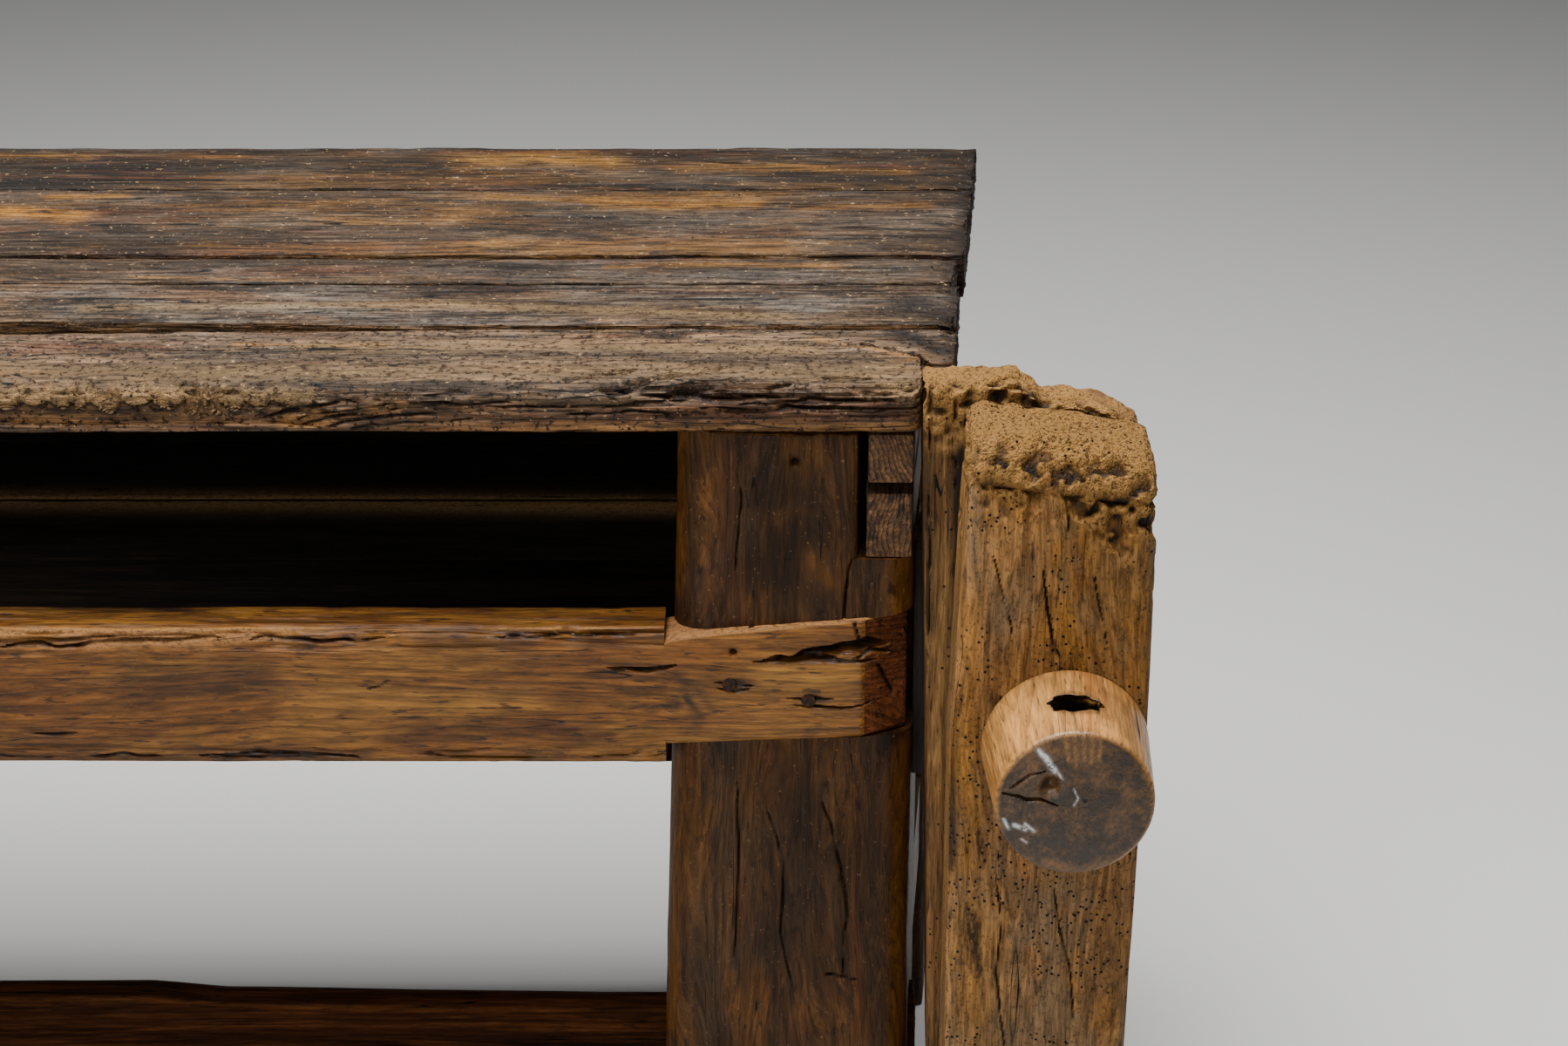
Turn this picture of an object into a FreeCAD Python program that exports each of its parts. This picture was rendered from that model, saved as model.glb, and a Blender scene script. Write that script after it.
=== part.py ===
"""An old carpenter's workbench with a wooden-screw vise at its right end, in millimetres, +Z up.

The origin is on the floor under the middle of the whole outline. X runs along the bench to the right
and Y from the vise, at the front, to the rear. The right end of the bench is out of square: it runs to
the right as it goes back, and the legs, rails and bearers of that end follow it.
"""
import FreeCAD, Part
import os
import re
import Sketcher

Vector = FreeCAD.Vector

# Lengths that can be set by themselves, in millimetres
SIZES = {
    # Bench top of five planks
    "bench_height": 820,
    "top_length": 2000,
    "top_thickness": 38,
    "front_board_width": 130,
    "second_board_width": 101,
    "third_board_width": 68,
    "fourth_board_width": 184,
    "rear_board_width": 130,
    "board_joint": 0.4,
    "board_ease": 2,
    "front_arris_wear": 14,
    "front_corner_wear": 12,
    "end_skew": 51,
    "end_overhang": 30,
    "left_overhang": 45,
    "post_notch_room": 10,
    # Legs
    "leg_width": 172,
    "leg_flare": 22,
    "leg_depth": 120,
    "leg_setback": 5,
    "leg_round": 30,
    "leg_wear": 24,
    "notch_width": 41,
    "notch_height": 99,
    # Bearers under the planks and end rails below them
    "bearer_width": 35,
    "bearer_height": 40,
    "upper_rail_width": 36,
    "upper_rail_height": 52,
    "lower_rail_thickness": 45,
    "lower_rail_height": 84,
    "lower_rail_top": 250,
    "lower_rail_inset": 8,
    "rail_tenon_length": 30,
    "rail_tenon_width": 22,
    # Upper stretchers, lapped over the legs
    "stretcher_drop": 192,
    "stretcher_height": 111,
    "stretcher_thickness": 46,
    "lap_length": 181,
    "lap_setback": 3,
    "lap_top_shoulder": 9,
    "lap_top_rise": 20,
    "lap_bottom_shoulder": 15,
    "lap_bottom_rise": 7,
    # Lower stretchers, tenoned through the legs
    "lower_stretcher_setback": 40,
    "lower_stretcher_thickness": 50,
    "lower_stretcher_height": 96,
    "front_stretcher_top": 296,
    "rear_stretcher_top": 340,
    "lower_stretcher_wear": 6,
    "tenon_thickness": 26,
    "tenon_shoulder": 12,
    "tenon_proud": 5,
    # Shelf under the top
    "shelf_drop": 220,
    "shelf_thickness": 20,
    "shelf_bearer_width": 50,
    "shelf_bearer_height": 40,
    "shelf_housing": 12,
    "shelf_joint": 2,
    "shelf_end_gap": 6,
    # Fixed jaw post and nut block
    "post_slit": 5.5,
    "post_width": 157.5,
    "post_thickness": 48,
    "post_rise": 2,
    "post_wear": 40,
    "post_left_taper": 18,
    "post_right_taper": 8,
    "post_fit": 0.6,
    "nut_height": 188,
    "nut_thickness": 80,
    "nut_ease": 6,
    "nut_tenon_length": 40,
    "nut_tenon_thickness": 34,
    "nut_tenon_height": 120,
    # Moving chop
    "chop_inset": 21,
    "chop_width": 141,
    "chop_foot_width": 131,
    "chop_thickness": 88,
    "chop_foot_height": 40,
    "chop_top_fall": 20,
    "chop_corner_round": 24,
    "chop_front_wear": 20,
    "jaw_gap": 0.3,
    # Wooden screw and its garter
    "screw_inset": 102,
    "screw_drop": 242,
    "screw_radius": 30,
    "screw_clearance": 0.5,
    "post_hole_clearance": 1.5,
    "screw_tail": 12,
    "screw_tail_ease": 5,
    "travel_length": 180,
    "head_radius": 56,
    "head_length": 94,
    "head_round": 20,
    "head_ease": 3,
    "head_gap": 0.3,
    "bar_hole_radius": 14,
    "bar_hole_setback": 48,
    "groove_depth": 6,
    "garter_setback": 37,
    "garter_thickness": 14,
    "garter_height": 60,
    "garter_clearance": 0.3,
    # Parallel guide at the foot of the chop
    "guide_inset": 70,
    "guide_height": 115,
    "guide_thickness": 30,
    "guide_width": 70,
    "guide_clearance": 0.4,
    "guide_hole_pitch": 40,
    "guide_tail": 30,
    "pin_radius": 7,
    "pin_clearance": 0.2,
    "pin_length": 110,
    "pin_knob_radius": 12,
    "pin_knob_length": 16,
    # Pegs and nails
    "peg_radius": 7,
    "nut_nail_margin": 24,
    "nut_nail_length": 115,
    "guide_peg_radius": 6,
    "nail_side": 6,
    "nail_head_radius": 5.5,
    "nail_head_height": 2.5,
    "stretcher_nail_length": 80,
    "stretcher_nail_inset": 77,
    "stretcher_nail_rise": 53,
    "stretcher_nail_step": 59,
    "stretcher_nail_climb": 13,
    "top_nail_length": 65,
    "overrun": 5,
}

# Places and lengths that follow from the sizes, in the same millimetres
PLACES = {
    "screw_height": "bench_height - screw_drop",
    "leg_height": "bench_height - top_thickness",
    "top_depth": "front_board_width + second_board_width + third_board_width + fourth_board_width"
                 " + rear_board_width + 4 * board_joint",
    "end_slope": "end_skew / top_depth",
    "vise_reach": "post_slit + chop_inset + chop_width - end_overhang",
    "bench_left": "-(top_length + vise_reach) / 2",
    "top_right": "bench_left + top_length",
    "leg_right": "top_right - end_overhang",
    "leg_left": "bench_left + left_overhang",
    "front_reach": "jaw_gap + chop_thickness + head_gap + head_length",
    "front": "(front_reach - top_depth) / 2",
    "rear": "front + top_depth",
    "leg_front": "front + leg_setback",
    "rear_leg_front": "rear - leg_setback - leg_depth",
    "legs_apart": "rear_leg_front - leg_front",
    "rear_leg_right": "leg_right + end_slope * legs_apart",
    "leg_reach": "leg_width + leg_flare",
    "notch_floor": "leg_height - notch_height",
    "stretcher_top": "bench_height - stretcher_drop",
    "stretcher_bottom": "stretcher_top - stretcher_height",
    "lap_depth": "stretcher_thickness - leg_setback",
    "lower_mortise_setback": "lower_stretcher_setback - leg_setback"
                             " + (lower_stretcher_thickness - tenon_thickness) / 2",
    "tenon_height": "lower_stretcher_height - 2 * tenon_shoulder",
    "rail_tenon_inset": "lower_rail_inset + (lower_rail_thickness - rail_tenon_width) / 2",
    "rail_tenon_height": "lower_rail_height - 2 * tenon_shoulder",
    "rail_tenon_floor": "lower_rail_top - lower_rail_height + tenon_shoulder",
    "shelf_top": "bench_height - shelf_drop",
    "shelf_floor": "shelf_top - shelf_thickness",
    "shelf_depth": "top_depth - 2 * stretcher_thickness",
    "post_left": "leg_right + post_slit",
    "post_top": "bench_height + post_rise",
    "post_back": "front + post_thickness",
    "nut_floor": "screw_height - nut_height / 2",
    "nut_width": "post_slit + post_width",
    "nut_mortise_setback": "post_thickness - leg_setback + (nut_thickness - nut_tenon_thickness) / 2",
    "axis_x": "post_left + screw_inset",
    "chop_left": "post_left + chop_inset",
    "chop_back": "front - jaw_gap",
    "chop_front": "chop_back - chop_thickness",
    "nut_bore": "screw_radius + screw_clearance",
    "groove_radius": "screw_radius - groove_depth",
    "screw_end": "chop_thickness + jaw_gap + post_thickness + nut_thickness + travel_length + screw_tail",
    "guide_left": "post_left + guide_inset",
    "guide_middle": "guide_height + guide_width / 2",
    "pin_setback": "post_thickness + travel_length + pin_knob_radius",
    "guide_end": "jaw_gap + pin_setback + guide_tail",
}

# Set back of each plank's right end from the slanting end line, as shares of the end overhang
PLANK_SETBACK_SHARES = (0, 0.1, 0.26, 0.04, 0)
# Left ends of the planks, which are ragged, as shares of the left overhang
PLANK_LEFT_SHARES = (0, 0.09, 0.02, 0.13, 0.05)
# Where a plank's nails stand, as shares of its width
NAIL_PLACE_SHARES = (0.22, 0.76)
# Widths of the shelf's boards, as shares of the clear depth between the stretchers
SHELF_WIDTH_SHARES = (0.29, 0.24, 0.25, 0.22)
# Where the shelf's bearers stand, as shares of the length between the legs
SHELF_BEARER_SHARES = (0.06, 0.5, 0.94)
# The worn top of the post: shares of its width across and of its wear down
POST_TOP_SHARES = ((1, 1), (0.62, 0.6), (0.54, 0.2), (0.4, 0.05), (0, 0))
# Height at which the chop reaches its full width, as a share of the bench's height
CHOP_SWELL_SHARE = 0.72
# Bevel of the pin's knob, as a share of its radius
KNOB_BEVEL_SHARE = 0.35
# The domed end of the screw's head: shares of its rounding inwards and back, from the rim to the crown
HEAD_DOME_SHARES = ((1, 0), (0.29, 0.29), (0, 1))
# Worn arris of an upper stretcher, as a share of the shoulder above its lap
STRETCHER_WEAR_SHARE = 0.85
# Distance within which a corner counts as lying on a line, as a share of the overrun
TOUCH_SHARE = 0.01

LAP_NAILS = 2
NAIL_HEAD_SIDES = 8
GUIDE_HOLES = 4
FULL_TURN = 360
QUARTER_TURN = 90

PLANKS = (
    ("top_board_front", "front_board_width"),
    ("top_board_second", "second_board_width"),
    ("top_board_third", "third_board_width"),
    ("top_board_fourth", "fourth_board_width"),
    ("top_board_rear", "rear_board_width"),
)

doc = FreeCAD.newDocument("Workbench")
sheet = doc.addObject("Spreadsheet::Sheet", "Sizes")
subparts = []


def fill_sheet():
    """One row for each size: its name and its value, with the name as the alias."""
    for row, (name, value) in enumerate(SIZES.items(), start=1):
        sheet.set(f"A{row}", name)
        sheet.set(f"B{row}", str(value))
        sheet.setAlias(f"B{row}", name)
    doc.recompute()


def tie(words):
    """The sheet's expression for a length that is given in the names of sizes and places."""
    def spell(match):
        word = match.group(0)
        if word in PLACES:
            return f"({tie(PLACES[word])})"
        return f"Sizes.{word}" if word in SIZES else word
    return re.sub(r"[a-z]\w+", spell, words)


def measure(words):
    """The same length in millimetres, as the sheet stands."""
    return float(sheet.evalExpression(tie(words)))


def seat(thing, x="0", y="0", z="0"):
    """Ties an object's place to three lengths."""
    for axis, words in zip("xyz", (x, y, z)):
        thing.setExpression(f"Placement.Base.{axis}", tie(words))


def new_body(label):
    """An empty sub-part that carries its file's name."""
    body = doc.addObject("PartDesign::Body", label)
    body.Label = label
    subparts.append(body)
    return body


def outline(body, name, role, corners, lift="0"):
    """A closed outline of straight lines, with each corner held by two lengths from the origin."""
    sketch = body.newObject("Sketcher::SketchObject", name)
    plane = next(feature for feature in body.Origin.OriginFeatures if feature.Role == role)
    sketch.AttachmentSupport = [(plane, "")]
    sketch.MapMode = "FlatFace"
    sketch.setExpression("AttachmentOffset.Base.z", tie(lift))
    points = [Vector(measure(across), measure(up), 0) for across, up in corners]
    for number, point in enumerate(points):
        sketch.addGeometry(Part.LineSegment(point, points[(number + 1) % len(points)]), False)
    for number in range(len(points)):
        sketch.addConstraint(Sketcher.Constraint("Coincident", number, 2, (number + 1) % len(points), 1))
    for number, (across, up) in enumerate(corners):
        for kind, words, value in (("DistanceX", across, points[number].x),
                                   ("DistanceY", up, points[number].y)):
            held = sketch.addConstraint(Sketcher.Constraint(kind, -1, 1, number, 1, value))
            sketch.setExpression(f"Constraints[{held}]", tie(words))
    return sketch


def carry_back(body, name, sketch, depth, drift="0"):
    """Pads a front view towards the rear, drifting to the right by a share of the depth."""
    pad = body.newObject("PartDesign::Pad", name)
    pad.Profile = sketch
    pad.UseCustomVector = True
    pad.AlongSketchNormal = True
    pad.Direction = Vector(0, 1, 0)
    pad.setExpression("Direction.x", tie(drift))
    pad.setExpression("Length", tie(depth))
    return pad


def raise_up(body, name, sketch, height):
    """Pads a plan upwards."""
    pad = body.newObject("PartDesign::Pad", name)
    pad.Profile = sketch
    pad.setExpression("Length", tie(height))
    return pad


def cut_back(body, name, sketch, depth):
    """Cuts a front view out of a body, towards the rear."""
    pocket = body.newObject("PartDesign::Pocket", name)
    pocket.Profile = sketch
    pocket.setExpression("Length", tie(depth))
    return pocket


def block(body, kind, name, corner, lengths):
    """A squared block that is added to a body or cut from it, from its lowest corner."""
    feature = body.newObject(f"PartDesign::{kind}Box", name)
    for side, words in zip(("Length", "Width", "Height"), lengths):
        feature.setExpression(side, tie(words))
    seat(feature, *corner)
    return feature


# Turns that lay a cylinder along an axis
ALONG = {
    "x": FreeCAD.Rotation(Vector(0, 1, 0), QUARTER_TURN),
    "y": FreeCAD.Rotation(Vector(1, 0, 0), -QUARTER_TURN),
    "z": FreeCAD.Rotation(),
}


def drill(body, name, axis, start, radius, depth):
    """A round hole along an axis, from its starting point."""
    hole = body.newObject("PartDesign::SubtractiveCylinder", name)
    hole.Placement = FreeCAD.Placement(Vector(), ALONG[axis])
    hole.setExpression("Radius", tie(radius))
    hole.setExpression("Height", tie(depth))
    seat(hole, *start)
    return hole


def nail_seat(body, name, axis, start, depth):
    """The eight-sided recess of a forged nail's head, along an axis."""
    recess = body.newObject("PartDesign::SubtractivePrism", name)
    recess.Polygon = NAIL_HEAD_SIDES
    recess.Placement = FreeCAD.Placement(Vector(), ALONG[axis])
    recess.setExpression("Circumradius", tie("nail_head_radius"))
    recess.setExpression("Height", tie(depth))
    seat(recess, *start)


def edges_where(feature, test):
    """Names of the edges of a finished feature whose two ends both pass a test."""
    doc.recompute()
    return [f"Edge{number}" for number, edge in enumerate(feature.Shape.Edges, start=1)
            if all(test(corner.Point) for corner in edge.Vertexes)]


def wear(body, kind, name, base, edges, amount):
    """Rounds (Fillet) or bevels (Chamfer) the named edges of a feature."""
    feature = body.newObject(f"PartDesign::{kind}", name)
    feature.Base = (base, edges)
    feature.setExpression("Radius" if kind == "Fillet" else "Size", tie(amount))
    return feature


def near(value, words):
    """True where a coordinate is at a length."""
    return abs(value - measure(words)) < measure("overrun") * TOUCH_SHARE


def board_offset(number):
    """Distance from the top's front line to a plank's front edge."""
    return " + ".join(["0"] + [f"{width} + board_joint" for _, width in PLANKS[:number]])


def end_at(depth):
    """How far the right end has run to the right at a depth behind the top's front line."""
    return f"end_slope * ({depth})"


def top_board(number):
    """A plank of the top: its right end follows the slanting end line, and its long edges are eased."""
    label, width = PLANKS[number]
    body = new_body(label)
    offset = board_offset(number)
    left = f"left_overhang * {PLANK_LEFT_SHARES[number]}"
    reach = f"top_length - end_overhang * {PLANK_SETBACK_SHARES[number]}"
    right_front = f"{reach} + {end_at(offset)}"
    right_back = f"{reach} + {end_at(f'{offset} + {width}')}"
    if number == 0:
        jaw = "post_left - bench_left - post_fit"
        notch = "post_thickness + post_notch_room"
        front = [(left, "0"), (jaw, "0"), (jaw, notch), (f"{reach} + {end_at(notch)}", notch)]
    else:
        front = [(left, "0"), (right_front, "0")]
    plan = outline(body, f"{label}_plan", "XY_Plane", front + [(right_back, width), (left, width)])
    plank = raise_up(body, f"{label}_plank", plan, "top_thickness")
    if number == 0:
        corner = edges_where(plank, lambda p: near(p.y, "0") and near(p.x, jaw))
        worn = wear(body, "Fillet", "worn_corner", plank, corner, "front_corner_wear")
        arris = edges_where(worn, lambda p: near(p.y, "0") and near(p.z, "top_thickness"))
        wear(body, "Fillet", "worn_arris", worn, arris, "front_arris_wear")
    else:
        long_edges = edges_where(plank, lambda p: near(p.z, "top_thickness") and near(p.y, "0"))
        long_edges += edges_where(plank, lambda p: near(p.z, "top_thickness") and near(p.y, width))
        wear(body, "Chamfer", f"{label}_ease", plank, long_edges, "board_ease")
    seat(body, "bench_left", f"front + {offset}", "leg_height")
    for side in ("left", "right"):
        for count, share in enumerate(NAIL_PLACE_SHARES):
            x, y = top_nail_place(number, side, share)
            nail_hole_down(body, f"{label}_{side}_{count}", f"{x} - bench_left", f"{y} - front - ({offset})")


def top_nail_place(number, side, share):
    """Where a nail goes through a plank, over the middle of the bearer at one end."""
    y = f"front + {board_offset(number)} + {PLANKS[number][1]} * {share}"
    if side == "left":
        return "leg_left + bearer_width / 2", y
    return f"leg_right - bearer_width / 2 + end_slope * ({y} - leg_front)", y


def nail_hole_down(body, name, x, y):
    """The hole of a nail in a plank: a square one for its shank under a seat for its head."""
    block(body, "Subtractive", f"{name}_shank", (f"{x} - nail_side / 2", f"{y} - nail_side / 2", "-overrun"),
          ("nail_side", "nail_side", "top_thickness + overrun"))
    nail_seat(body, f"{name}_head", "z", (x, y, "top_thickness - nail_head_height"),
              "nail_head_height + overrun")


def leg(label, right, front):
    """A hewn leg, wider at its foot, with a notch at its outer top corner and a dado for the lap.

    Its own frame starts at the foot of its outer side, on its front face.
    """
    body = new_body(label)
    sign = "-" if right else ""
    drift = "end_slope" if right else "0"
    view = outline(body, f"{label}_view", "XZ_Plane", [
        ("0", "0"),
        (f"{sign}(leg_reach)", "0"),
        (f"{sign}(leg_width)", "leg_height"),
        (f"{sign}(notch_width)", "leg_height"),
        (f"{sign}(notch_width)", "notch_floor"),
        ("0", "notch_floor")])
    log = carry_back(body, f"{label}_log", view, "leg_depth", drift)
    shown = "0" if front else "leg_depth"
    shift = measure(f"{drift} * ({shown})")
    half = measure("leg_width") / 2
    inner = edges_where(log, lambda p: near(p.y, shown) and abs(p.x - shift) > half)
    rounded = wear(body, "Fillet", f"{label}_round", log,
                   [name for name in inner if is_upright(log, name)], "leg_round")
    outer = edges_where(rounded, lambda p: near(p.y, shown) and near(p.x, f"{drift} * ({shown})"))
    wear(body, "Chamfer", f"{label}_wear", rounded, outer, "leg_wear")
    turned = "0" if front else f"{drift} * leg_depth"
    cut_lap_dado(body, label, sign, front, turned)
    mortise_y = "lower_mortise_setback" if front else "leg_depth - (lower_mortise_setback) - tenon_thickness"
    rail = "front_stretcher_top" if front else "rear_stretcher_top"
    start = "-(leg_reach) - overrun" if right else "-overrun"
    through = "leg_reach + end_slope * leg_depth + 2 * overrun"
    block(body, "Subtractive", f"{label}_stretcher_mortise",
          (start, mortise_y, f"{rail} - lower_stretcher_height + tenon_shoulder"),
          (through, "tenon_thickness", "tenon_height"))
    rail_face = f"{drift} * leg_depth" if front else "0"
    rail_start = f"{rail_face} - (rail_tenon_inset) - rail_tenon_width" if right else "rail_tenon_inset"
    block(body, "Subtractive", f"{label}_rail_mortise",
          (rail_start, "leg_depth - rail_tenon_length" if front else "-overrun", "rail_tenon_floor"),
          ("rail_tenon_width", "rail_tenon_length + overrun", "rail_tenon_height"))
    drill(body, f"{label}_stretcher_peg_hole", "y",
          (f"{sign}(leg_width / 2)", "-overrun", f"{rail} - lower_stretcher_height / 2"),
          "peg_radius", "leg_depth + 2 * overrun")
    for count in range(LAP_NAILS):
        side, up = lap_nail_place(count)
        x = f"{turned} + {sign or '+'}({side}) - nail_side / 2"
        reach = "stretcher_nail_length - leg_setback"
        y = "-overrun" if front else f"leg_depth - ({reach})"
        block(body, "Subtractive", f"{label}_nail_hole_{count}", (x, y, f"{up} - nail_side / 2"),
              ("nail_side", f"{reach} + overrun", "nail_side"))
    outer_side = "leg_left"
    if right:
        outer_side = "leg_right" if front else "rear_leg_right"
    seat(body, outer_side, "leg_front" if front else "rear_leg_front")
    return body


def is_upright(feature, name):
    """True for an edge that climbs more than it runs along."""
    box = feature.Shape.getElement(name).BoundBox
    return box.ZLength > box.XLength


def lap_line(side, height, rise):
    """A lap's upper or lower line at a distance in from the leg's outer side: it climbs outwards."""
    return f"{height} + {rise} * (lap_length + lap_setback - ({side})) / lap_length"


def cut_lap_dado(body, label, sign, front, turned):
    """Cuts the dado that the stretcher's lap lies in, from the leg's shown face."""
    inside = "lap_length + lap_setback"
    outside = "-(end_slope * leg_depth + overrun)"
    top = "stretcher_top - lap_top_shoulder"
    bottom = "stretcher_bottom + lap_bottom_shoulder"
    corners = [(inside, top, "lap_top_rise"), (outside, top, "lap_top_rise"),
               (outside, bottom, "lap_bottom_rise"), (inside, bottom, "lap_bottom_rise")]
    lift = "overrun" if front else "-(leg_depth - (lap_depth))"
    view = outline(body, f"{label}_lap", "XZ_Plane",
                   [(f"{turned} + {sign or '+'}({side})", lap_line(side, height, rise))
                    for side, height, rise in corners], lift)
    cut_back(body, f"{label}_dado", view, "lap_depth + overrun")


def lap_nail_place(count):
    """Distance in from the leg's outer side, and height, of one of a lap's two nails."""
    side = f"stretcher_nail_inset + stretcher_nail_step * {count}"
    return side, f"stretcher_bottom + stretcher_nail_rise + stretcher_nail_climb * {count}"


def upper_stretcher(label, front):
    """A rail that is lapped over two legs: full height between them, and a thinner lap on each.

    Its own frame starts at the left leg's outer side, on the rail's outer face for the front one and
    its inner face for the rear one.
    """
    body = new_body(label)
    span = "leg_right - leg_left" if front else "rear_leg_right + end_slope * leg_depth - leg_left"
    top = "stretcher_top - lap_top_shoulder"
    bottom = "stretcher_bottom + lap_bottom_shoulder"
    inside = "lap_length + lap_setback"
    tip = "lap_setback"
    half = [(inside, "stretcher_bottom"), (inside, bottom),
            (tip, lap_line(tip, bottom, "lap_bottom_rise")),
            (tip, lap_line(tip, top, "lap_top_rise")),
            (inside, top), (inside, "stretcher_top")]
    other = [(f"{span} - ({side})", up) for side, up in reversed(half)]
    view = outline(body, f"{label}_view", "XZ_Plane", half + other)
    rail = carry_back(body, f"{label}_rail", view, "stretcher_thickness")
    shown = "0" if front else "stretcher_thickness"
    arris = edges_where(rail, lambda p: near(p.y, shown) and near(p.z, "stretcher_top"))
    wear(body, "Chamfer", f"{label}_wear", rail, arris, f"lap_top_shoulder * {STRETCHER_WEAR_SHARE}")
    inner = "stretcher_thickness - shelf_housing" if front else "-overrun"
    for count, share in enumerate(SHELF_BEARER_SHARES):
        block(body, "Subtractive", f"{label}_housing_{count}",
              (f"{shelf_bearer_left(share)} - leg_left", inner, "shelf_floor - shelf_bearer_height"),
              ("shelf_bearer_width", "shelf_housing + overrun", "shelf_bearer_height"))
    for end, base, sign in (("left", "0", "+"), ("right", span, "-")):
        for count in range(LAP_NAILS):
            side, up = lap_nail_place(count)
            x = f"{base} {sign} ({side})"
            block(body, "Subtractive", f"{label}_{end}_nail_{count}",
                  (f"{x} - nail_side / 2", "-overrun", f"{up} - nail_side / 2"),
                  ("nail_side", "stretcher_thickness + 2 * overrun", "nail_side"))
            head_y = "-overrun" if front else "stretcher_thickness - nail_head_height"
            nail_seat(body, f"{label}_{end}_head_{count}", "y", (x, head_y, up),
                      "nail_head_height + overrun")
    seat(body, "leg_left", "front" if front else "rear - stretcher_thickness")


def shelf_bearer_left(share):
    """Left side of a shelf bearer, by its share of the length between the legs."""
    start = "leg_left + leg_reach"
    return f"{start} + (leg_right - leg_left - 2 * leg_reach - shelf_bearer_width) * {share}"


def reach_at(height):
    """Width of a leg at a height: it tapers from the foot to the top."""
    return f"leg_reach - leg_flare * ({height}) / leg_height"


def lower_stretcher(label, front):
    """A rail between two legs, with a tenon through each. Its frame starts at the left leg's outer side."""
    body = new_body(label)
    crest = "front_stretcher_top" if front else "rear_stretcher_top"
    floor = f"{crest} - lower_stretcher_height"
    set_in = "lower_stretcher_setback - leg_setback"
    near_side = set_in if front else f"leg_depth - ({set_in}) - lower_stretcher_thickness"
    right = f"{'leg_right' if front else 'rear_leg_right'} - leg_left + end_slope * ({near_side})"
    view = outline(body, f"{label}_view", "XZ_Plane", [
        (reach_at(floor), floor),
        (f"{right} - ({reach_at(floor)})", floor),
        (f"{right} - ({reach_at(crest)})", crest),
        (reach_at(crest), crest)])
    rail = carry_back(body, f"{label}_rail", view, "lower_stretcher_thickness")
    shown = "0" if front else "lower_stretcher_thickness"
    arris = edges_where(rail, lambda p: near(p.y, shown) and near(p.z, crest))
    wear(body, "Chamfer", f"{label}_wear", rail, arris, "lower_stretcher_wear")
    tenon_y = "(lower_stretcher_thickness - tenon_thickness) / 2"
    far_side = f"{right} + end_slope * ({tenon_y} + tenon_thickness) + tenon_proud"
    block(body, "Additive", f"{label}_tenon", ("-tenon_proud", tenon_y, f"{floor} + tenon_shoulder"),
          (f"{far_side} + tenon_proud", "tenon_thickness", "tenon_height"))
    peg_right = "leg_right" if front else "rear_leg_right"
    for end, x in (("left", "leg_width / 2"), ("right", f"{peg_right} - leg_left - leg_width / 2")):
        drill(body, f"{label}_{end}_peg_hole", "y", (x, "-overrun", f"{crest} - lower_stretcher_height / 2"),
              "peg_radius", "lower_stretcher_thickness + 2 * overrun")
    seat(body, "leg_left", f"{'leg_front' if front else 'rear_leg_front'} + {near_side}")


def cross_bar(label, right, inset, width, height, floor, start="0", run="legs_apart + leg_depth"):
    """A squared bar from front to rear at one end of the bench, which follows that end's slant.

    Its own frame starts at the front leg's outer side, on the leg's front face.
    """
    body = new_body(label)
    drift = "end_slope" if right else "0"
    low = f"-({inset}) - {width}" if right else inset
    far = f"({start}) + {run}"
    plan = outline(body, f"{label}_plan", "XY_Plane", [
        (f"{low} + {drift} * ({start})", start),
        (f"{low} + {width} + {drift} * ({start})", start),
        (f"{low} + {width} + {drift} * ({far})", far),
        (f"{low} + {drift} * ({far})", far)])
    bar = raise_up(body, f"{label}_bar", plan, height)
    seat(body, "leg_right" if right else "leg_left", "leg_front", floor)
    return body, bar


def bearer(label, right):
    """The bar that the planks are nailed to, in the top of the legs' notches."""
    body, _ = cross_bar(label, right, "0", "bearer_width", "bearer_height", "leg_height - bearer_height")
    side = "right" if right else "left"
    origin = "leg_right" if right else "leg_left"
    for number in range(len(PLANKS)):
        for count, share in enumerate(NAIL_PLACE_SHARES):
            x, y = top_nail_place(number, side, share)
            depth = "top_nail_length - top_thickness"
            block(body, "Subtractive", f"{label}_nail_{number}_{count}",
                  (f"{x} - {origin} - nail_side / 2", f"{y} - leg_front - nail_side / 2",
                   f"bearer_height - ({depth})"),
                  ("nail_side", "nail_side", f"{depth} + overrun"))


def upper_end_rail(label, right):
    """The bar on the floor of the notches, flush with the legs' outer sides."""
    cross_bar(label, right, "0", "upper_rail_width", "upper_rail_height", "notch_floor")


def lower_end_rail(label, right):
    """The rail between a front and a rear leg, with a blind tenon in each."""
    run = "legs_apart - leg_depth"
    body, _ = cross_bar(label, right, "lower_rail_inset", "lower_rail_thickness", "lower_rail_height",
                        "lower_rail_top - lower_rail_height", "leg_depth", run)
    drift = "end_slope" if right else "0"
    low = "-(rail_tenon_inset) - rail_tenon_width" if right else "rail_tenon_inset"
    ends = (("front", "leg_depth", "leg_depth - rail_tenon_length"),
            ("rear", "legs_apart", "legs_apart - overrun"))
    for end, shoulder, start in ends:
        block(body, "Additive", f"{label}_{end}_tenon",
              (f"{low} + {drift} * ({shoulder})", start, "tenon_shoulder"),
              ("rail_tenon_width", "rail_tenon_length + overrun", "rail_tenon_height"))


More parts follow.
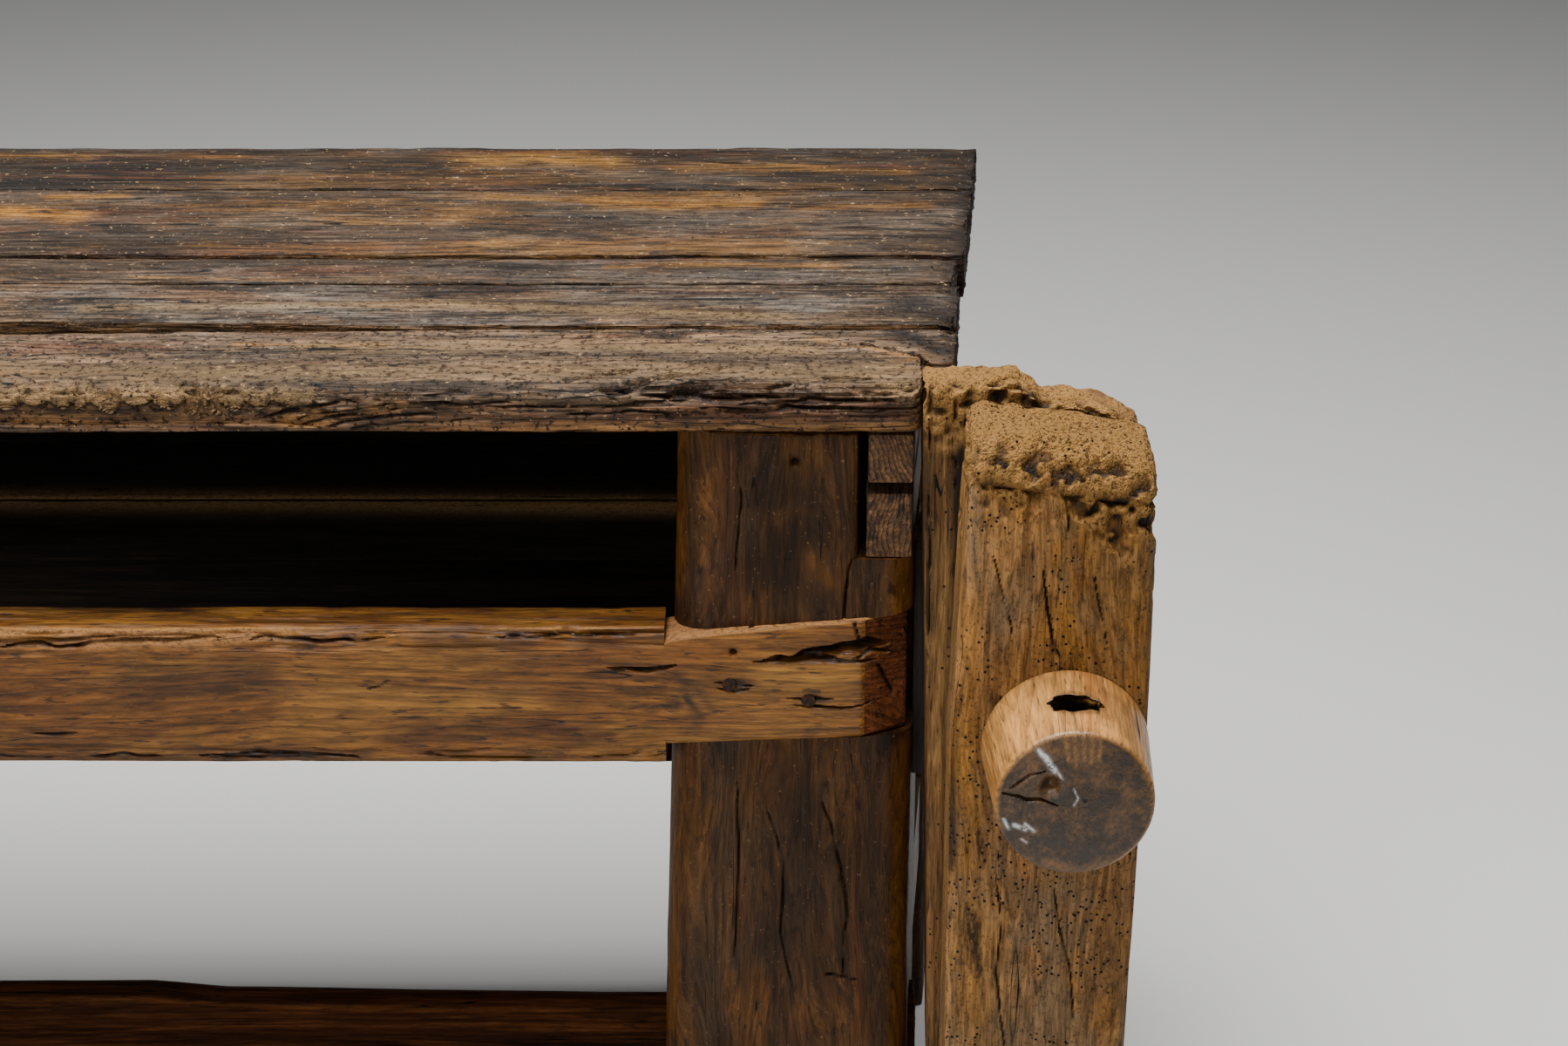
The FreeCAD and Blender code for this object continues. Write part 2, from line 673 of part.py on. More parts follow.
def shelf():
    """Three bearers housed in the upper stretchers, and the boards that lie on them."""
    for name, share in zip(("left", "middle", "right"), SHELF_BEARER_SHARES):
        body = new_body(f"shelf_bearer_{name}")
        block(body, "Additive", f"shelf_batten_{name}", ("0", "0", "0"),
              ("shelf_bearer_width", "shelf_depth + 2 * shelf_housing", "shelf_bearer_height"))
        seat(body, shelf_bearer_left(share), "front + stretcher_thickness - shelf_housing",
             "shelf_floor - shelf_bearer_height")
    behind = "0"
    for number, share in enumerate(SHELF_WIDTH_SHARES, start=1):
        body = new_body(f"shelf_board_{number}")
        slab = block(body, "Additive", f"shelf_slab_{number}", ("0", "0", "0"),
                     ("leg_right - leg_left - 2 * (leg_reach + shelf_end_gap)",
                      f"shelf_depth * {share} - shelf_joint", "shelf_thickness"))
        edges = edges_where(slab, lambda p: near(p.z, "shelf_thickness") and near(p.y, "0"))
        wear(body, "Chamfer", f"shelf_ease_{number}", slab, edges, "board_ease")
        seat(body, "leg_left + leg_reach + shelf_end_gap",
             f"front + stretcher_thickness + shelf_joint / 2 + {behind}", "shelf_floor")
        behind = f"{behind} + shelf_depth * {share}"


def nut_nail_places():
    """Places of the four nails that hold the post to the nut block: distances from the post's left side."""
    return [(across, up)
            for across in ("post_left_taper + nut_nail_margin", "post_width - post_right_taper - nut_nail_margin")
            for up in ("nut_floor + nut_nail_margin", "nut_floor + nut_height - nut_nail_margin")]


def vise_post():
    """The fixed jaw: a plank on end beside the leg, its top worn down in a step towards the right."""
    body = new_body("vise_post")
    top = [(f"post_width * {across}", f"post_top - post_wear * {down}") for across, down in POST_TOP_SHARES]
    view = outline(body, "post_view", "XZ_Plane",
                   [("post_left_taper", "0"), ("post_width - post_right_taper", "0")] + top)
    carry_back(body, "post_plank", view, "post_thickness")
    drill(body, "post_screw_hole", "y", ("screw_inset", "-overrun", "screw_height"),
          "screw_radius + post_hole_clearance", "post_thickness + 2 * overrun")
    block(body, "Subtractive", "post_guide_mortise",
          ("guide_inset - guide_clearance", "-overrun", "guide_height - guide_clearance"),
          ("guide_thickness + 2 * guide_clearance", "post_thickness + 2 * overrun",
           "guide_width + 2 * guide_clearance"))
    for number, (across, up) in enumerate(nut_nail_places()):
        block(body, "Subtractive", f"post_nail_hole_{number}",
              (f"{across} - nail_side / 2", "-overrun", f"{up} - nail_side / 2"),
              ("nail_side", "post_thickness + 2 * overrun", "nail_side"))
        nail_seat(body, f"post_nail_seat_{number}", "y", (across, "-overrun", up),
                  "nail_head_height + overrun")
    seat(body, "post_left", "front")


def nut_block():
    """The block behind the post that holds the screw's nut, tenoned into the leg's outer side.

    Its own frame starts at the leg's outer side, in the plane of the post's back.
    """
    body = new_body("nut_block")
    near_face = "end_slope * (post_thickness - leg_setback)"
    far_face = "end_slope * (post_thickness - leg_setback + nut_thickness)"
    plan = outline(body, "nut_plan", "XY_Plane", [
        (near_face, "0"), ("nut_width", "0"), ("nut_width", "nut_thickness"), (far_face, "nut_thickness")])
    billet = raise_up(body, "nut_billet", plan, "nut_height")
    edges = edges_where(billet, lambda p: near(p.x, "nut_width") and near(p.y, "nut_thickness"))
    edges += edges_where(billet, lambda p: near(p.y, "nut_thickness") and near(p.z, "nut_height"))
    wear(body, "Chamfer", "nut_ease", billet, edges, "nut_ease")
    block(body, "Additive", "nut_tenon",
          ("-nut_tenon_length", "(nut_thickness - nut_tenon_thickness) / 2",
           "(nut_height - nut_tenon_height) / 2"),
          (f"nut_tenon_length + {far_face} + overrun", "nut_tenon_thickness", "nut_tenon_height"))
    drill(body, "nut_bore", "y", ("post_slit + screw_inset", "-overrun", "nut_height / 2"),
          "nut_bore", "nut_thickness + 2 * overrun")
    for number, (across, up) in enumerate(nut_nail_places()):
        block(body, "Subtractive", f"nut_nail_hole_{number}",
              (f"post_slit + {across} - nail_side / 2", "-overrun", f"{up} - (nut_floor) - nail_side / 2"),
              ("nail_side", "nut_nail_length - post_thickness + overrun", "nail_side"))
    seat(body, "leg_right", "post_back", "nut_floor")


def cut_nut_mortise(front_leg):
    """The mortise in the right front leg's outer side for the nut block's tenon."""
    block(front_leg, "Subtractive", "nut_mortise",
          ("-nut_tenon_length", "nut_mortise_setback", "screw_height - nut_tenon_height / 2"),
          ("nut_tenon_length + end_slope * leg_depth + overrun", "nut_tenon_thickness", "nut_tenon_height"))


def vise_chop():
    """The moving jaw: a thick plank with a sloping, rounded head, which narrows to its foot.

    Its own frame starts at its left side, on its front face, at the floor.
    """
    body = new_body("vise_chop")
    swell = f"bench_height * {CHOP_SWELL_SHARE}"
    view = outline(body, "chop_view", "XZ_Plane", [
        ("0", "chop_foot_height"), ("chop_foot_width", "chop_foot_height"),
        ("chop_width", swell), ("chop_width", "bench_height - chop_top_fall"), ("0", "bench_height")])
    plank = carry_back(body, "chop_plank", view, "chop_thickness")
    shoulders = edges_where(plank, lambda p: near(p.z, "bench_height")
                            or near(p.z, "bench_height - chop_top_fall") and near(p.x, "chop_width"))
    corners = [name for name in shoulders if plank.Shape.getElement(name).BoundBox.XLength
               < measure("overrun")]
    rounded = wear(body, "Fillet", "chop_corners", plank, corners, "chop_corner_round")
    crown = measure("bench_height - chop_top_fall - chop_corner_round - overrun")
    front_edges = edges_where(rounded, lambda p: near(p.y, "0") and p.z > crown)
    wear(body, "Chamfer", "chop_front", rounded, front_edges, "chop_front_wear")
    axis = ("axis_x - (chop_left)", "-overrun", "screw_height")
    drill(body, "chop_bore", "y", axis, "nut_bore", "chop_thickness + 2 * overrun")
    block(body, "Subtractive", "chop_garter_slot",
          ("axis_x - (chop_left)", "garter_setback", "screw_height - garter_height / 2"),
          ("chop_width + overrun", "garter_thickness", "garter_height"))
    block(body, "Subtractive", "chop_guide_mortise",
          ("guide_left - (chop_left)", "-overrun", "guide_height"),
          ("guide_thickness", "chop_thickness + 2 * overrun", "guide_width"))
    drill(body, "chop_peg_hole", "x", ("-overrun", "chop_thickness / 2", "guide_middle"),
          "guide_peg_radius", "chop_width + 2 * overrun")
    seat(body, "chop_left", "chop_front")


def vise_screw():
    """The wooden screw: a turned head with a hole for the bar, a shank with a groove, and a tail.

    Its own frame starts on its axis in the plane of the chop's front face.
    """
    body = new_body("vise_screw")
    head_face = "-(head_gap + head_length)"
    groove_front = "garter_setback - garter_clearance"
    groove_back = "garter_setback + garter_thickness + garter_clearance"
    dome = [(f"head_radius - head_round * {inward}", f"{head_face} + head_round * {back}")
            for inward, back in HEAD_DOME_SHARES]
    half = outline(body, "screw_half", "XY_Plane", [
        ("0", head_face), *dome, ("head_radius", "-head_gap - head_ease"),
        ("head_radius - head_ease", "-head_gap"),
        ("screw_radius", "-head_gap"), ("screw_radius", groove_front),
        ("groove_radius", groove_front), ("groove_radius", groove_back),
        ("screw_radius", groove_back), ("screw_radius", "screw_end - screw_tail_ease"),
        ("screw_radius - screw_tail_ease", "screw_end"), ("0", "screw_end")])
    turned = body.newObject("PartDesign::Revolution", "screw_turned")
    turned.Profile = half
    turned.ReferenceAxis = (half, ["V_Axis"])
    turned.Angle = FULL_TURN
    drill(body, "screw_bar_hole", "z", ("0", "-head_gap - bar_hole_setback", "-head_radius - overrun"),
          "bar_hole_radius", "2 * (head_radius + overrun)")
    seat(body, "axis_x", "chop_front", "screw_height")


def garter_key():
    """The flat key in the chop's side, forked over the screw's groove so that the screw pulls the chop."""
    body = new_body("garter_key")
    across = "chop_width - (axis_x - (chop_left))"
    block(body, "Additive", "key_blank", ("0", "0", "-garter_height / 2"),
          (across, "garter_thickness", "garter_height"))
    drill(body, "key_fork", "y", ("0", "-overrun", "0"), "groove_radius + garter_clearance",
          "garter_thickness + 2 * overrun")
    seat(body, "axis_x", "chop_front + garter_setback", "screw_height")


def parallel_guide():
    """The beam at the chop's foot that slides in the post, drilled for the pin.

    Its own frame starts at its lower left corner in the plane of the chop's front face.
    """
    body = new_body("parallel_guide")
    beam = block(body, "Additive", "guide_beam", ("0", "0", "0"),
                 ("guide_thickness", "chop_thickness + guide_end", "guide_width"))
    ends = edges_where(beam, lambda p: near(p.y, "chop_thickness + guide_end"))
    wear(body, "Chamfer", "guide_nose", beam, ends, "board_ease")
    pin_y = "chop_thickness + jaw_gap + pin_setback"
    hole = drill(body, "guide_pin_hole", "x", ("-overrun", pin_y, "guide_width / 2"),
                 "pin_radius + pin_clearance", "guide_thickness + 2 * overrun")
    row = body.newObject("PartDesign::LinearPattern", "guide_holes")
    row.Originals = [hole]
    row.Direction = (next(axis for axis in body.Origin.OriginFeatures if axis.Role == "Y_Axis"), [""])
    row.Reversed = True
    row.Occurrences = GUIDE_HOLES
    row.setExpression("Length", tie(f"guide_hole_pitch * {GUIDE_HOLES - 1}"))
    body.Tip = row
    drill(body, "guide_peg_hole", "x", ("-overrun", "chop_thickness / 2", "guide_width / 2"),
          "guide_peg_radius", "guide_thickness + 2 * overrun")
    seat(body, "guide_left", "chop_front", "guide_height")


def guide_pin():
    """The turned pin in the guide's rear hole: it stops the chop at its widest opening."""
    body = new_body("guide_pin")
    bevel = f"pin_knob_radius * {KNOB_BEVEL_SHARE}"
    half = outline(body, "pin_half", "XY_Plane", [
        ("0", "-pin_knob_length"), (f"pin_knob_radius - {bevel}", "-pin_knob_length"),
        ("pin_knob_radius", f"{bevel} - pin_knob_length"), ("pin_knob_radius", "0"),
        ("pin_radius", "0"), ("pin_radius", "pin_length"), ("0", "pin_length")])
    turned = body.newObject("PartDesign::Revolution", "pin_turned")
    turned.Profile = half
    turned.ReferenceAxis = (half, ["V_Axis"])
    turned.Angle = FULL_TURN
    body.Placement = FreeCAD.Placement(Vector(), FreeCAD.Rotation(Vector(0, 0, 1), QUARTER_TURN))
    seat(body, "guide_left + guide_thickness / 2 + pin_length / 2", "chop_back + jaw_gap + pin_setback",
         "guide_middle")


def rod(name, axis, start, radius, run):
    """A round peg along an axis."""
    peg = doc.addObject("Part::Cylinder", name)
    peg.Placement = FreeCAD.Placement(Vector(), ALONG[axis])
    peg.setExpression("Radius", tie(radius))
    peg.setExpression("Height", tie(run))
    seat(peg, *start)
    return peg


def nail_head(name, axis, start):
    """The eight-sided head of a forged nail, along an axis."""
    head = doc.addObject("Part::Prism", f"{name}_head")
    head.Polygon = NAIL_HEAD_SIDES
    head.Placement = FreeCAD.Placement(Vector(), ALONG[axis])
    head.setExpression("Circumradius", tie("nail_head_radius"))
    head.setExpression("Height", tie("nail_head_height"))
    seat(head, *start)
    return head


def nail(name, axis, place, run, forward=True):
    """A forged nail: a square shank under its head, driven along +Y, -Y or -Z from the head's face."""
    x, y, z = place
    shank = doc.addObject("Part::Box", f"{name}_shank")
    if axis == "z":
        head = nail_head(name, "z", (x, y, f"{z} - nail_head_height"))
        lengths = ("nail_side", "nail_side", run)
        seat(shank, f"{x} - nail_side / 2", f"{y} - nail_side / 2", f"{z} - nail_head_height - ({run})")
    else:
        head_y = y if forward else f"{y} - nail_head_height"
        head = nail_head(name, "y", (x, head_y, z))
        lengths = ("nail_side", run, "nail_side")
        start = f"{y} + nail_head_height" if forward else f"{y} - nail_head_height - ({run})"
        seat(shank, f"{x} - nail_side / 2", start, f"{z} - nail_side / 2")
    for side, words in zip(("Length", "Width", "Height"), lengths):
        shank.setExpression(side, tie(words))
    whole = doc.addObject("Part::Fuse", name)
    whole.Base = head
    whole.Tool = shank
    return whole


def group(label, pieces):
    """Like fasteners, as one sub-part of separate solids."""
    bundle = doc.addObject("Part::Compound", label)
    bundle.Label = label
    bundle.Links = pieces
    subparts.append(bundle)


def fasteners():
    """Pegs of the mortised joints, nails of the laps and nails of the planks."""
    legs = (("front_left", "leg_left", "leg_front", True), ("front_right", "leg_right", "leg_front", True),
            ("rear_left", "leg_left", "rear_leg_front", False),
            ("rear_right", "rear_leg_right", "rear_leg_front", False))
    pegs = []
    nails = []
    for name, outer, face, front in legs:
        right = name.endswith("right")
        inward = "-" if right else "+"
        drift = "end_slope" if right else "0"
        crest = "front_stretcher_top" if front else "rear_stretcher_top"
        pegs.append(rod(f"peg_{name}_stretcher", "y",
                        (f"{outer} {inward} leg_width / 2", face, f"{crest} - lower_stretcher_height / 2"),
                        "peg_radius", "leg_depth"))
        skewed = outer if front else f"{outer} + {drift} * leg_depth"
        for count in range(LAP_NAILS):
            side, up = lap_nail_place(count)
            nails.append(nail(f"lap_nail_{name}_{count}", "y",
                              (f"{skewed} {inward} ({side})", "front" if front else "rear", up),
                              "stretcher_nail_length - nail_head_height", front))
    group("frame_pegs", pegs)
    group("stretcher_nails", nails)
    planks = []
    for number in range(len(PLANKS)):
        for side in ("left", "right"):
            for count, share in enumerate(NAIL_PLACE_SHARES):
                x, y = top_nail_place(number, side, share)
                planks.append(nail(f"top_nail_{number}_{side}_{count}", "z", (x, y, "bench_height"),
                                   "top_nail_length - nail_head_height"))
    group("top_nails", planks)
    group("nut_block_nails", [
        nail(f"nut_nail_{number}", "y", (f"post_left + {across}", "front", up),
             "nut_nail_length - nail_head_height")
        for number, (across, up) in enumerate(nut_nail_places())])
    group("guide_peg", [rod("guide_peg_rod", "x", ("chop_left", "chop_front + chop_thickness / 2",
                                                   "guide_middle"), "guide_peg_radius", "chop_foot_width")])


def write_steps():
    """Checks every object and sub-part, then writes one STEP file for each sub-part."""
    doc.recompute()
    failed = [thing.Label for thing in doc.Objects if {"Invalid", "Error"} & set(thing.State)]
    if failed:
        raise RuntimeError(f"objects that failed: {failed}")
    unsound = [part.Label for part in subparts if part.Shape.isNull() or not part.Shape.isValid()]
    if unsound:
        raise RuntimeError(f"sub-parts without a sound shape: {unsound}")
    os.makedirs("parts", exist_ok=True)
    for part in subparts:
        part.Shape.exportStep(f"parts/{part.Label}.step")
        print(part.Label, len(part.Shape.Solids))


fill_sheet()
for plank_number in range(len(PLANKS)):
    top_board(plank_number)
for leg_label, is_right, is_front in (("leg_front_left", False, True), ("leg_front_right", True, True),
                                      ("leg_rear_left", False, False), ("leg_rear_right", True, False)):
    made_leg = leg(leg_label, is_right, is_front)
    if is_right and is_front:
        cut_nut_mortise(made_leg)
upper_stretcher("upper_stretcher_front", True)
upper_stretcher("upper_stretcher_rear", False)
lower_stretcher("lower_stretcher_front", True)
lower_stretcher("lower_stretcher_rear", False)
for end_name in ("left", "right"):
    bearer(f"top_bearer_{end_name}", end_name == "right")
    upper_end_rail(f"upper_end_rail_{end_name}", end_name == "right")
    lower_end_rail(f"lower_end_rail_{end_name}", end_name == "right")
shelf()
vise_post()
nut_block()
vise_chop()
vise_screw()
garter_key()
parallel_guide()
guide_pin()
fasteners()
write_steps()
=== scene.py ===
"""Dresses a joiner's workbench: worn planks, hewn legs, lapped stretchers, a tool shelf and a leg vise.

Lengths are in metres in the frame's own axes: X along the bench to the vise, Y to the rear, Z up. Each
timber is a rounded rectangle carried along its run, and its four sides may change on the way. Noise
weathers it along its normals. Its honey, grime and dust are vertex attributes that its wood reads. Besides
wear, dirt and dust, they also carry a few painted highlights, painted shadows and a painted band of light.
"""
import itertools
import math
from types import SimpleNamespace

import bpy
import numpy as np
from bpy.props import FloatProperty, FloatVectorProperty, PointerProperty
from bpy.types import Operator, Panel, PropertyGroup
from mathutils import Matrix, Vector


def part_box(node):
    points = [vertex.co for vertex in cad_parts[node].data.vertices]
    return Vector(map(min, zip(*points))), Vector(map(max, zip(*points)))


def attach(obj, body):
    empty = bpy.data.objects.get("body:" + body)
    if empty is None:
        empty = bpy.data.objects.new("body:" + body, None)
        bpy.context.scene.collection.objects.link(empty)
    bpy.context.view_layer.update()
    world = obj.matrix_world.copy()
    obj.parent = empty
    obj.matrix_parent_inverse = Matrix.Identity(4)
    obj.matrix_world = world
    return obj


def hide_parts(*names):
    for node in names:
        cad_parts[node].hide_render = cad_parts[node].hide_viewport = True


bl_info = {
    "name": "Joiner's workbench",
    "version": (1, 0, 0),
    "blender": (4, 5, 0),
    "location": "View3D > Sidebar > Workbench",
    "description": "Dresses the bench's frame with worn timbers, a wooden screw and its soft studio light",
    "category": "Add Mesh",
}

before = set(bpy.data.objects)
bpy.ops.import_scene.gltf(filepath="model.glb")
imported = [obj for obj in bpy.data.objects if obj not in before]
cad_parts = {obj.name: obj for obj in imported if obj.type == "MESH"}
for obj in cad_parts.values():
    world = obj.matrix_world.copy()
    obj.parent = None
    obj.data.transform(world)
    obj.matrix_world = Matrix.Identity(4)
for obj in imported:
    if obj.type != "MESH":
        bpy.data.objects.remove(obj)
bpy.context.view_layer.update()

MM = 0.001
QUARTER = math.pi / 2
FULL_TURN = 2 * math.pi

# The marks that use leaves on a surface: rubbed bright, soiled and dusty, and in a few places painted
# highlights, painted shadows and a painted band of light
MARKS = ("honey", "grime", "dust")

# The photograph's size, and the camera that fits it
PHOTO_WIDTH = 1799
PHOTO_HEIGHT = 1200
FOCAL_PIXELS = 3565
SENSOR_WIDTH = 36
CAMERA_TILT = math.radians(23)
CAMERA_BACK = 2089 * MM
CAMERA_LEFT_OF_POST = 100.5 * MM
CAMERA_HEIGHT = 1601 * MM


def corners(node):
    """A node's lowest and highest corners as arrays."""
    return [np.array(corner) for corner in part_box(node)]


POST_LOW, POST_HIGH = corners("vise_post")
CHOP_LOW, CHOP_HIGH = corners("vise_chop")
SCREW_LOW, SCREW_HIGH = corners("vise_screw")
SCREW_AXIS = (SCREW_LOW + SCREW_HIGH) / 2
FRONT = POST_LOW[1]
REAR = corners("top_board_rear")[1][1]
CAMERA = np.array((POST_LOW[0] - CAMERA_LEFT_OF_POST, FRONT - CAMERA_BACK, CAMERA_HEIGHT))

# The right end is out of square: its rail is wider in outline than the left one by the slope
LEFT_RAIL = corners("upper_end_rail_left")
RIGHT_RAIL = corners("upper_end_rail_right")
RAIL_WIDTH = LEFT_RAIL[1][0] - LEFT_RAIL[0][0]
END_SLOPE = (RIGHT_RAIL[1][0] - RIGHT_RAIL[0][0] - RAIL_WIDTH) / (RIGHT_RAIL[1][1] - RIGHT_RAIL[0][1])

# Sizes that a node's box doesn't give
LEG_TAPER = 22 * MM
NOTCH_WIDTH = 41 * MM
LAP_LENGTH = 181 * MM
LAP_SETBACK = 3 * MM
LAP_TOP_SHOULDER = 9 * MM
LAP_TOP_RISE = 20 * MM
LAP_BOTTOM_SHOULDER = 15 * MM
LAP_BOTTOM_RISE = 7 * MM
POST_LEFT_TAPER = 18 * MM
POST_RIGHT_TAPER = 8 * MM
POST_NOTCH_ROOM = 10 * MM
CHOP_FOOT_TAPER = 10 * MM
CHOP_HEAD_TAPER = 9 * MM
CHOP_TAPER_FROM = 560 * MM
CHOP_SWELL_HEIGHT = 590.4 * MM
SCREW_RADIUS = 30 * MM
BAR_HOLE_RADIUS = 14 * MM
BAR_BACK = 48 * MM
BAR_SHIFT = 3 * MM

# Left of these places nothing is in the photograph, so the stations lie further apart
TOP_DRAWN_FROM = 170 * MM
LOW_RAIL_DRAWN_FROM = 100 * MM

# The run of a sharp step, too short to see
HAIR = 0.05 * MM


def seen(column, line, **plane):
    """Where the ray through a pixel of the photograph meets a plane given as x=, y= or z=.

    The ray is forward + right (column - w/2)/f - up (line - h/2)/f, with the camera tilted about X alone.
    """
    across = (column - PHOTO_WIDTH / 2) / FOCAL_PIXELS
    drop = (line - PHOTO_HEIGHT / 2) / FOCAL_PIXELS
    cosine = math.cos(CAMERA_TILT)
    sine = math.sin(CAMERA_TILT)
    ray = np.array((across, cosine - drop * sine, -sine - drop * cosine))
    (axis, value), = plane.items()
    number = "xyz".index(axis)
    return CAMERA + ray * (value - CAMERA[number]) / ray[number]


def trail(pixels, **plane):
    """The points of one plane that a list of pixels shows."""
    return [seen(x, y, **plane) for x, y in pixels]


# Noise on whole arrays

CORNER_FACTORS = np.array((73856093, 19349663, 83492791), dtype=np.uint32)
SEED_FACTOR = 2654435761
FOLD_FACTOR = np.uint32(1274126177)
WORD = 2 ** 32
FOLDS = (15, 13)


def corner_value(corner, seed):
    """A repeatable number from -1 to 1 for each whole-numbered corner, from multiplied and folded bits."""
    bits = (corner.astype(np.uint32) * CORNER_FACTORS).sum(axis=-1, dtype=np.uint32)
    bits = bits + np.uint32(seed * SEED_FACTOR % WORD)
    bits = (bits ^ (bits >> FOLDS[0])) * FOLD_FACTOR
    bits = bits ^ (bits >> FOLDS[1])
    return bits / (WORD / 2) - 1


def noise(points, cell, seed):
    """Smooth noise from -1 to 1: the values at a cell's eight corners, blended by 3t² - 2t³ each way."""
    scaled = points / cell
    base = np.floor(scaled)
    share = scaled - base
    share = share * share * (3 - 2 * share)
    base = base.astype(np.int64)
    total = 0
    for corner in itertools.product((0, 1), repeat=3):
        weight = np.prod(np.where(corner, share, 1 - share), axis=-1)
        total = total + weight * corner_value(base + corner, seed)
    return total


def stretched(run, length, across):
    """A noise cell that is long on the run and narrow across it."""
    cell = np.full(3, across)
    cell["XYZ".index(run)] = length
    return cell


def ramp(low, high, value):
    """0 below low, 1 above high, and 3t² - 2t³ between them."""
    share = np.clip((value - low) / (high - low), 0, 1)
    return share * share * (3 - 2 * share)


# Timbers

ARC_POINTS = 5
CHIP_SHARE = 0.6
SMALLEST_ROUND = 0.3 * MM
SHARP_ANGLE = math.radians(50)


def section(left, right, low, high, rounds, sides, arcs):
    """Points and normals of rounded rectangles, counter-clockwise from the low right corner.

    A corner is the arc centre + r (cos t, sin t) over a quarter turn. A side is the straight line from
    one arc to the next, at the shares given for it.
    """
    curves = []
    for number, (a, b, inward_a, inward_b) in enumerate(
            ((right, low, -1, 1), (right, high, -1, -1), (left, high, 1, -1), (left, low, 1, 1))):
        radius = rounds[:, number, None]
        turn = QUARTER * (number - 1 + np.linspace(0, 1, arcs[number]))
        flat = np.ones_like(radius)
        curves.append((a[:, None] + radius * (inward_a + np.cos(turn)),
                       b[:, None] + radius * (inward_b + np.sin(turn)), flat * np.cos(turn),
                       flat * np.sin(turn)))
    columns = []
    for number, curve in enumerate(curves):
        following = curves[(number + 1) % len(curves)]
        share = sides[number]
        columns.append(curve)
        columns.append([here[:, -1:] * (1 - share) + there[:, :1] * share
                        for here, there in zip(curve, following)])
    return [np.concatenate(parts, axis=1) for parts in zip(*columns)]


def side_shares(length, step):
    """Shares along a side at even steps, to five places and without its ends."""
    return np.round(np.linspace(0, 1, max(round(length / step), 2) + 1)[1:-1], 5)


def timber(run, s, left, right, low, high, rounds=4 * MM, end_round=3 * MM, step=4 * MM,
           arcs=(ARC_POINTS,) * 4, tilt=0, anchor=0, skew=0, start=None, stop=None, reach=60 * MM, rings=7):
    """A surface carried along its run, closed by rings that shrink on both ends.

    a and b are the two axes after the run in turn (X: y, z; Y: z, x; Z: x, y). Each station of s has
    its own sides and corner radii. A row leans by tilt (a - anchor) along the run, its section leans
    by skew (b - low), and start and stop are functions of a and b that shape the ends.
    """
    count = len(s)
    left, right, low, high, tilt = (np.broadcast_to(value, count).astype(float)
                                    for value in (left, right, low, high, tilt))
    rounds = np.broadcast_to(rounds, (count, 4)).astype(float)
    step = np.broadcast_to(step, 4)
    body = np.flatnonzero((s > s[0] + end_round) & (s < s[-1] - end_round))
    turn = np.linspace(QUARTER, 0, ARC_POINTS)
    scales = np.linspace(0, 1, rings + 1)[1:-1]
    still = np.zeros(len(scales))
    row = np.concatenate((np.zeros(len(scales) + ARC_POINTS, int), body,
                          np.full(len(scales) + ARC_POINTS, count - 1)))
    climb = end_round * (1 - np.sin(turn))
    place = np.concatenate((still + s[0], s[0] + climb, s[body], s[-1] - climb[::-1], still + s[-1]))
    curl = end_round * (1 - np.cos(turn))
    inset = np.concatenate((still + end_round, curl, 0 * body, curl[::-1], still + end_round))
    full = np.ones(ARC_POINTS)
    scale = np.concatenate((scales, full, 0 * body + 1, full, scales[::-1]))[:, None]
    lean = np.concatenate((still - 1, -np.sin(turn), 0 * body, np.sin(turn[::-1]), still + 1))[:, None]
    height = high.max() - low.min()
    width = right.max() - left.min()
    sides = [side_shares(length, size) for length, size in zip((height, width, height, width), step)]
    edges = [value[row] for value in (left, right, low, high)]
    rounds = np.maximum(rounds[row] - inset[:, None], SMALLEST_ROUND)
    a, b, normal_a, normal_b = section(edges[0] + inset, edges[1] - inset, edges[2] + inset,
                                       edges[3] - inset, rounds, sides, arcs)
    middle_a = (edges[0] + edges[1])[:, None] / 2
    middle_b = (edges[2] + edges[3])[:, None] / 2
    a = middle_a + (a - middle_a) * scale
    b = middle_b + (b - middle_b) * scale
    from_ends = np.minimum(place - s[0], s[-1] - place)[:, None] + 0 * a
    near = np.sort(np.stack((np.minimum(a - edges[0][:, None], edges[1][:, None] - a),
                             np.minimum(b - edges[2][:, None], edges[3][:, None] - b), from_ends)), axis=0)[1]
    along = place[:, None] + tilt[row][:, None] * (a - anchor)
    if start is not None:
        along = along + start(a, b) * np.clip(1 - (place[:, None] - s[0]) / reach, 0, 1)
    if stop is not None:
        along = along + stop(a, b) * np.clip(1 - (s[-1] - place[:, None]) / reach, 0, 1)
    a = a + skew * (b - low.min())
    flat = np.sqrt(1 - lean ** 2)
    order = {"X": (2, 0, 1), "Y": (1, 2, 0), "Z": (0, 1, 2)}[run]
    values = (a, b, along)
    tangents = (normal_a * flat, normal_b * flat, lean + 0 * a)
    points, normals = (np.stack([parts[axis] for axis in order], axis=-1) for parts in (values, tangents))
    return unstained(run, points, normals, np.maximum(near, 0))


def unstained(run, points, normals=None, near=None):
    """A surface whose marks are still nought. Near is each point's distance from the nearest arris."""
    return SimpleNamespace(run=run, points=points, normals=normals, near=near,
                           **{mark: 0 * points[..., 0] for mark in MARKS})


def press(surface, depth):
    """Moves a surface inwards along its normals."""
    surface.points = surface.points - surface.normals * depth[..., None]


def stain(surface, **shares):
    """Raises the named marks to the given shares where these are higher."""
    for mark, share in shares.items():
        setattr(surface, mark, np.maximum(getattr(surface, mark), share))


def facing(surface, axis, way):
    """How far a surface faces one way of an axis, as a share from 0 to 1."""
    return np.clip(surface.normals[..., "xyz".index(axis)] * way, 0, 1)


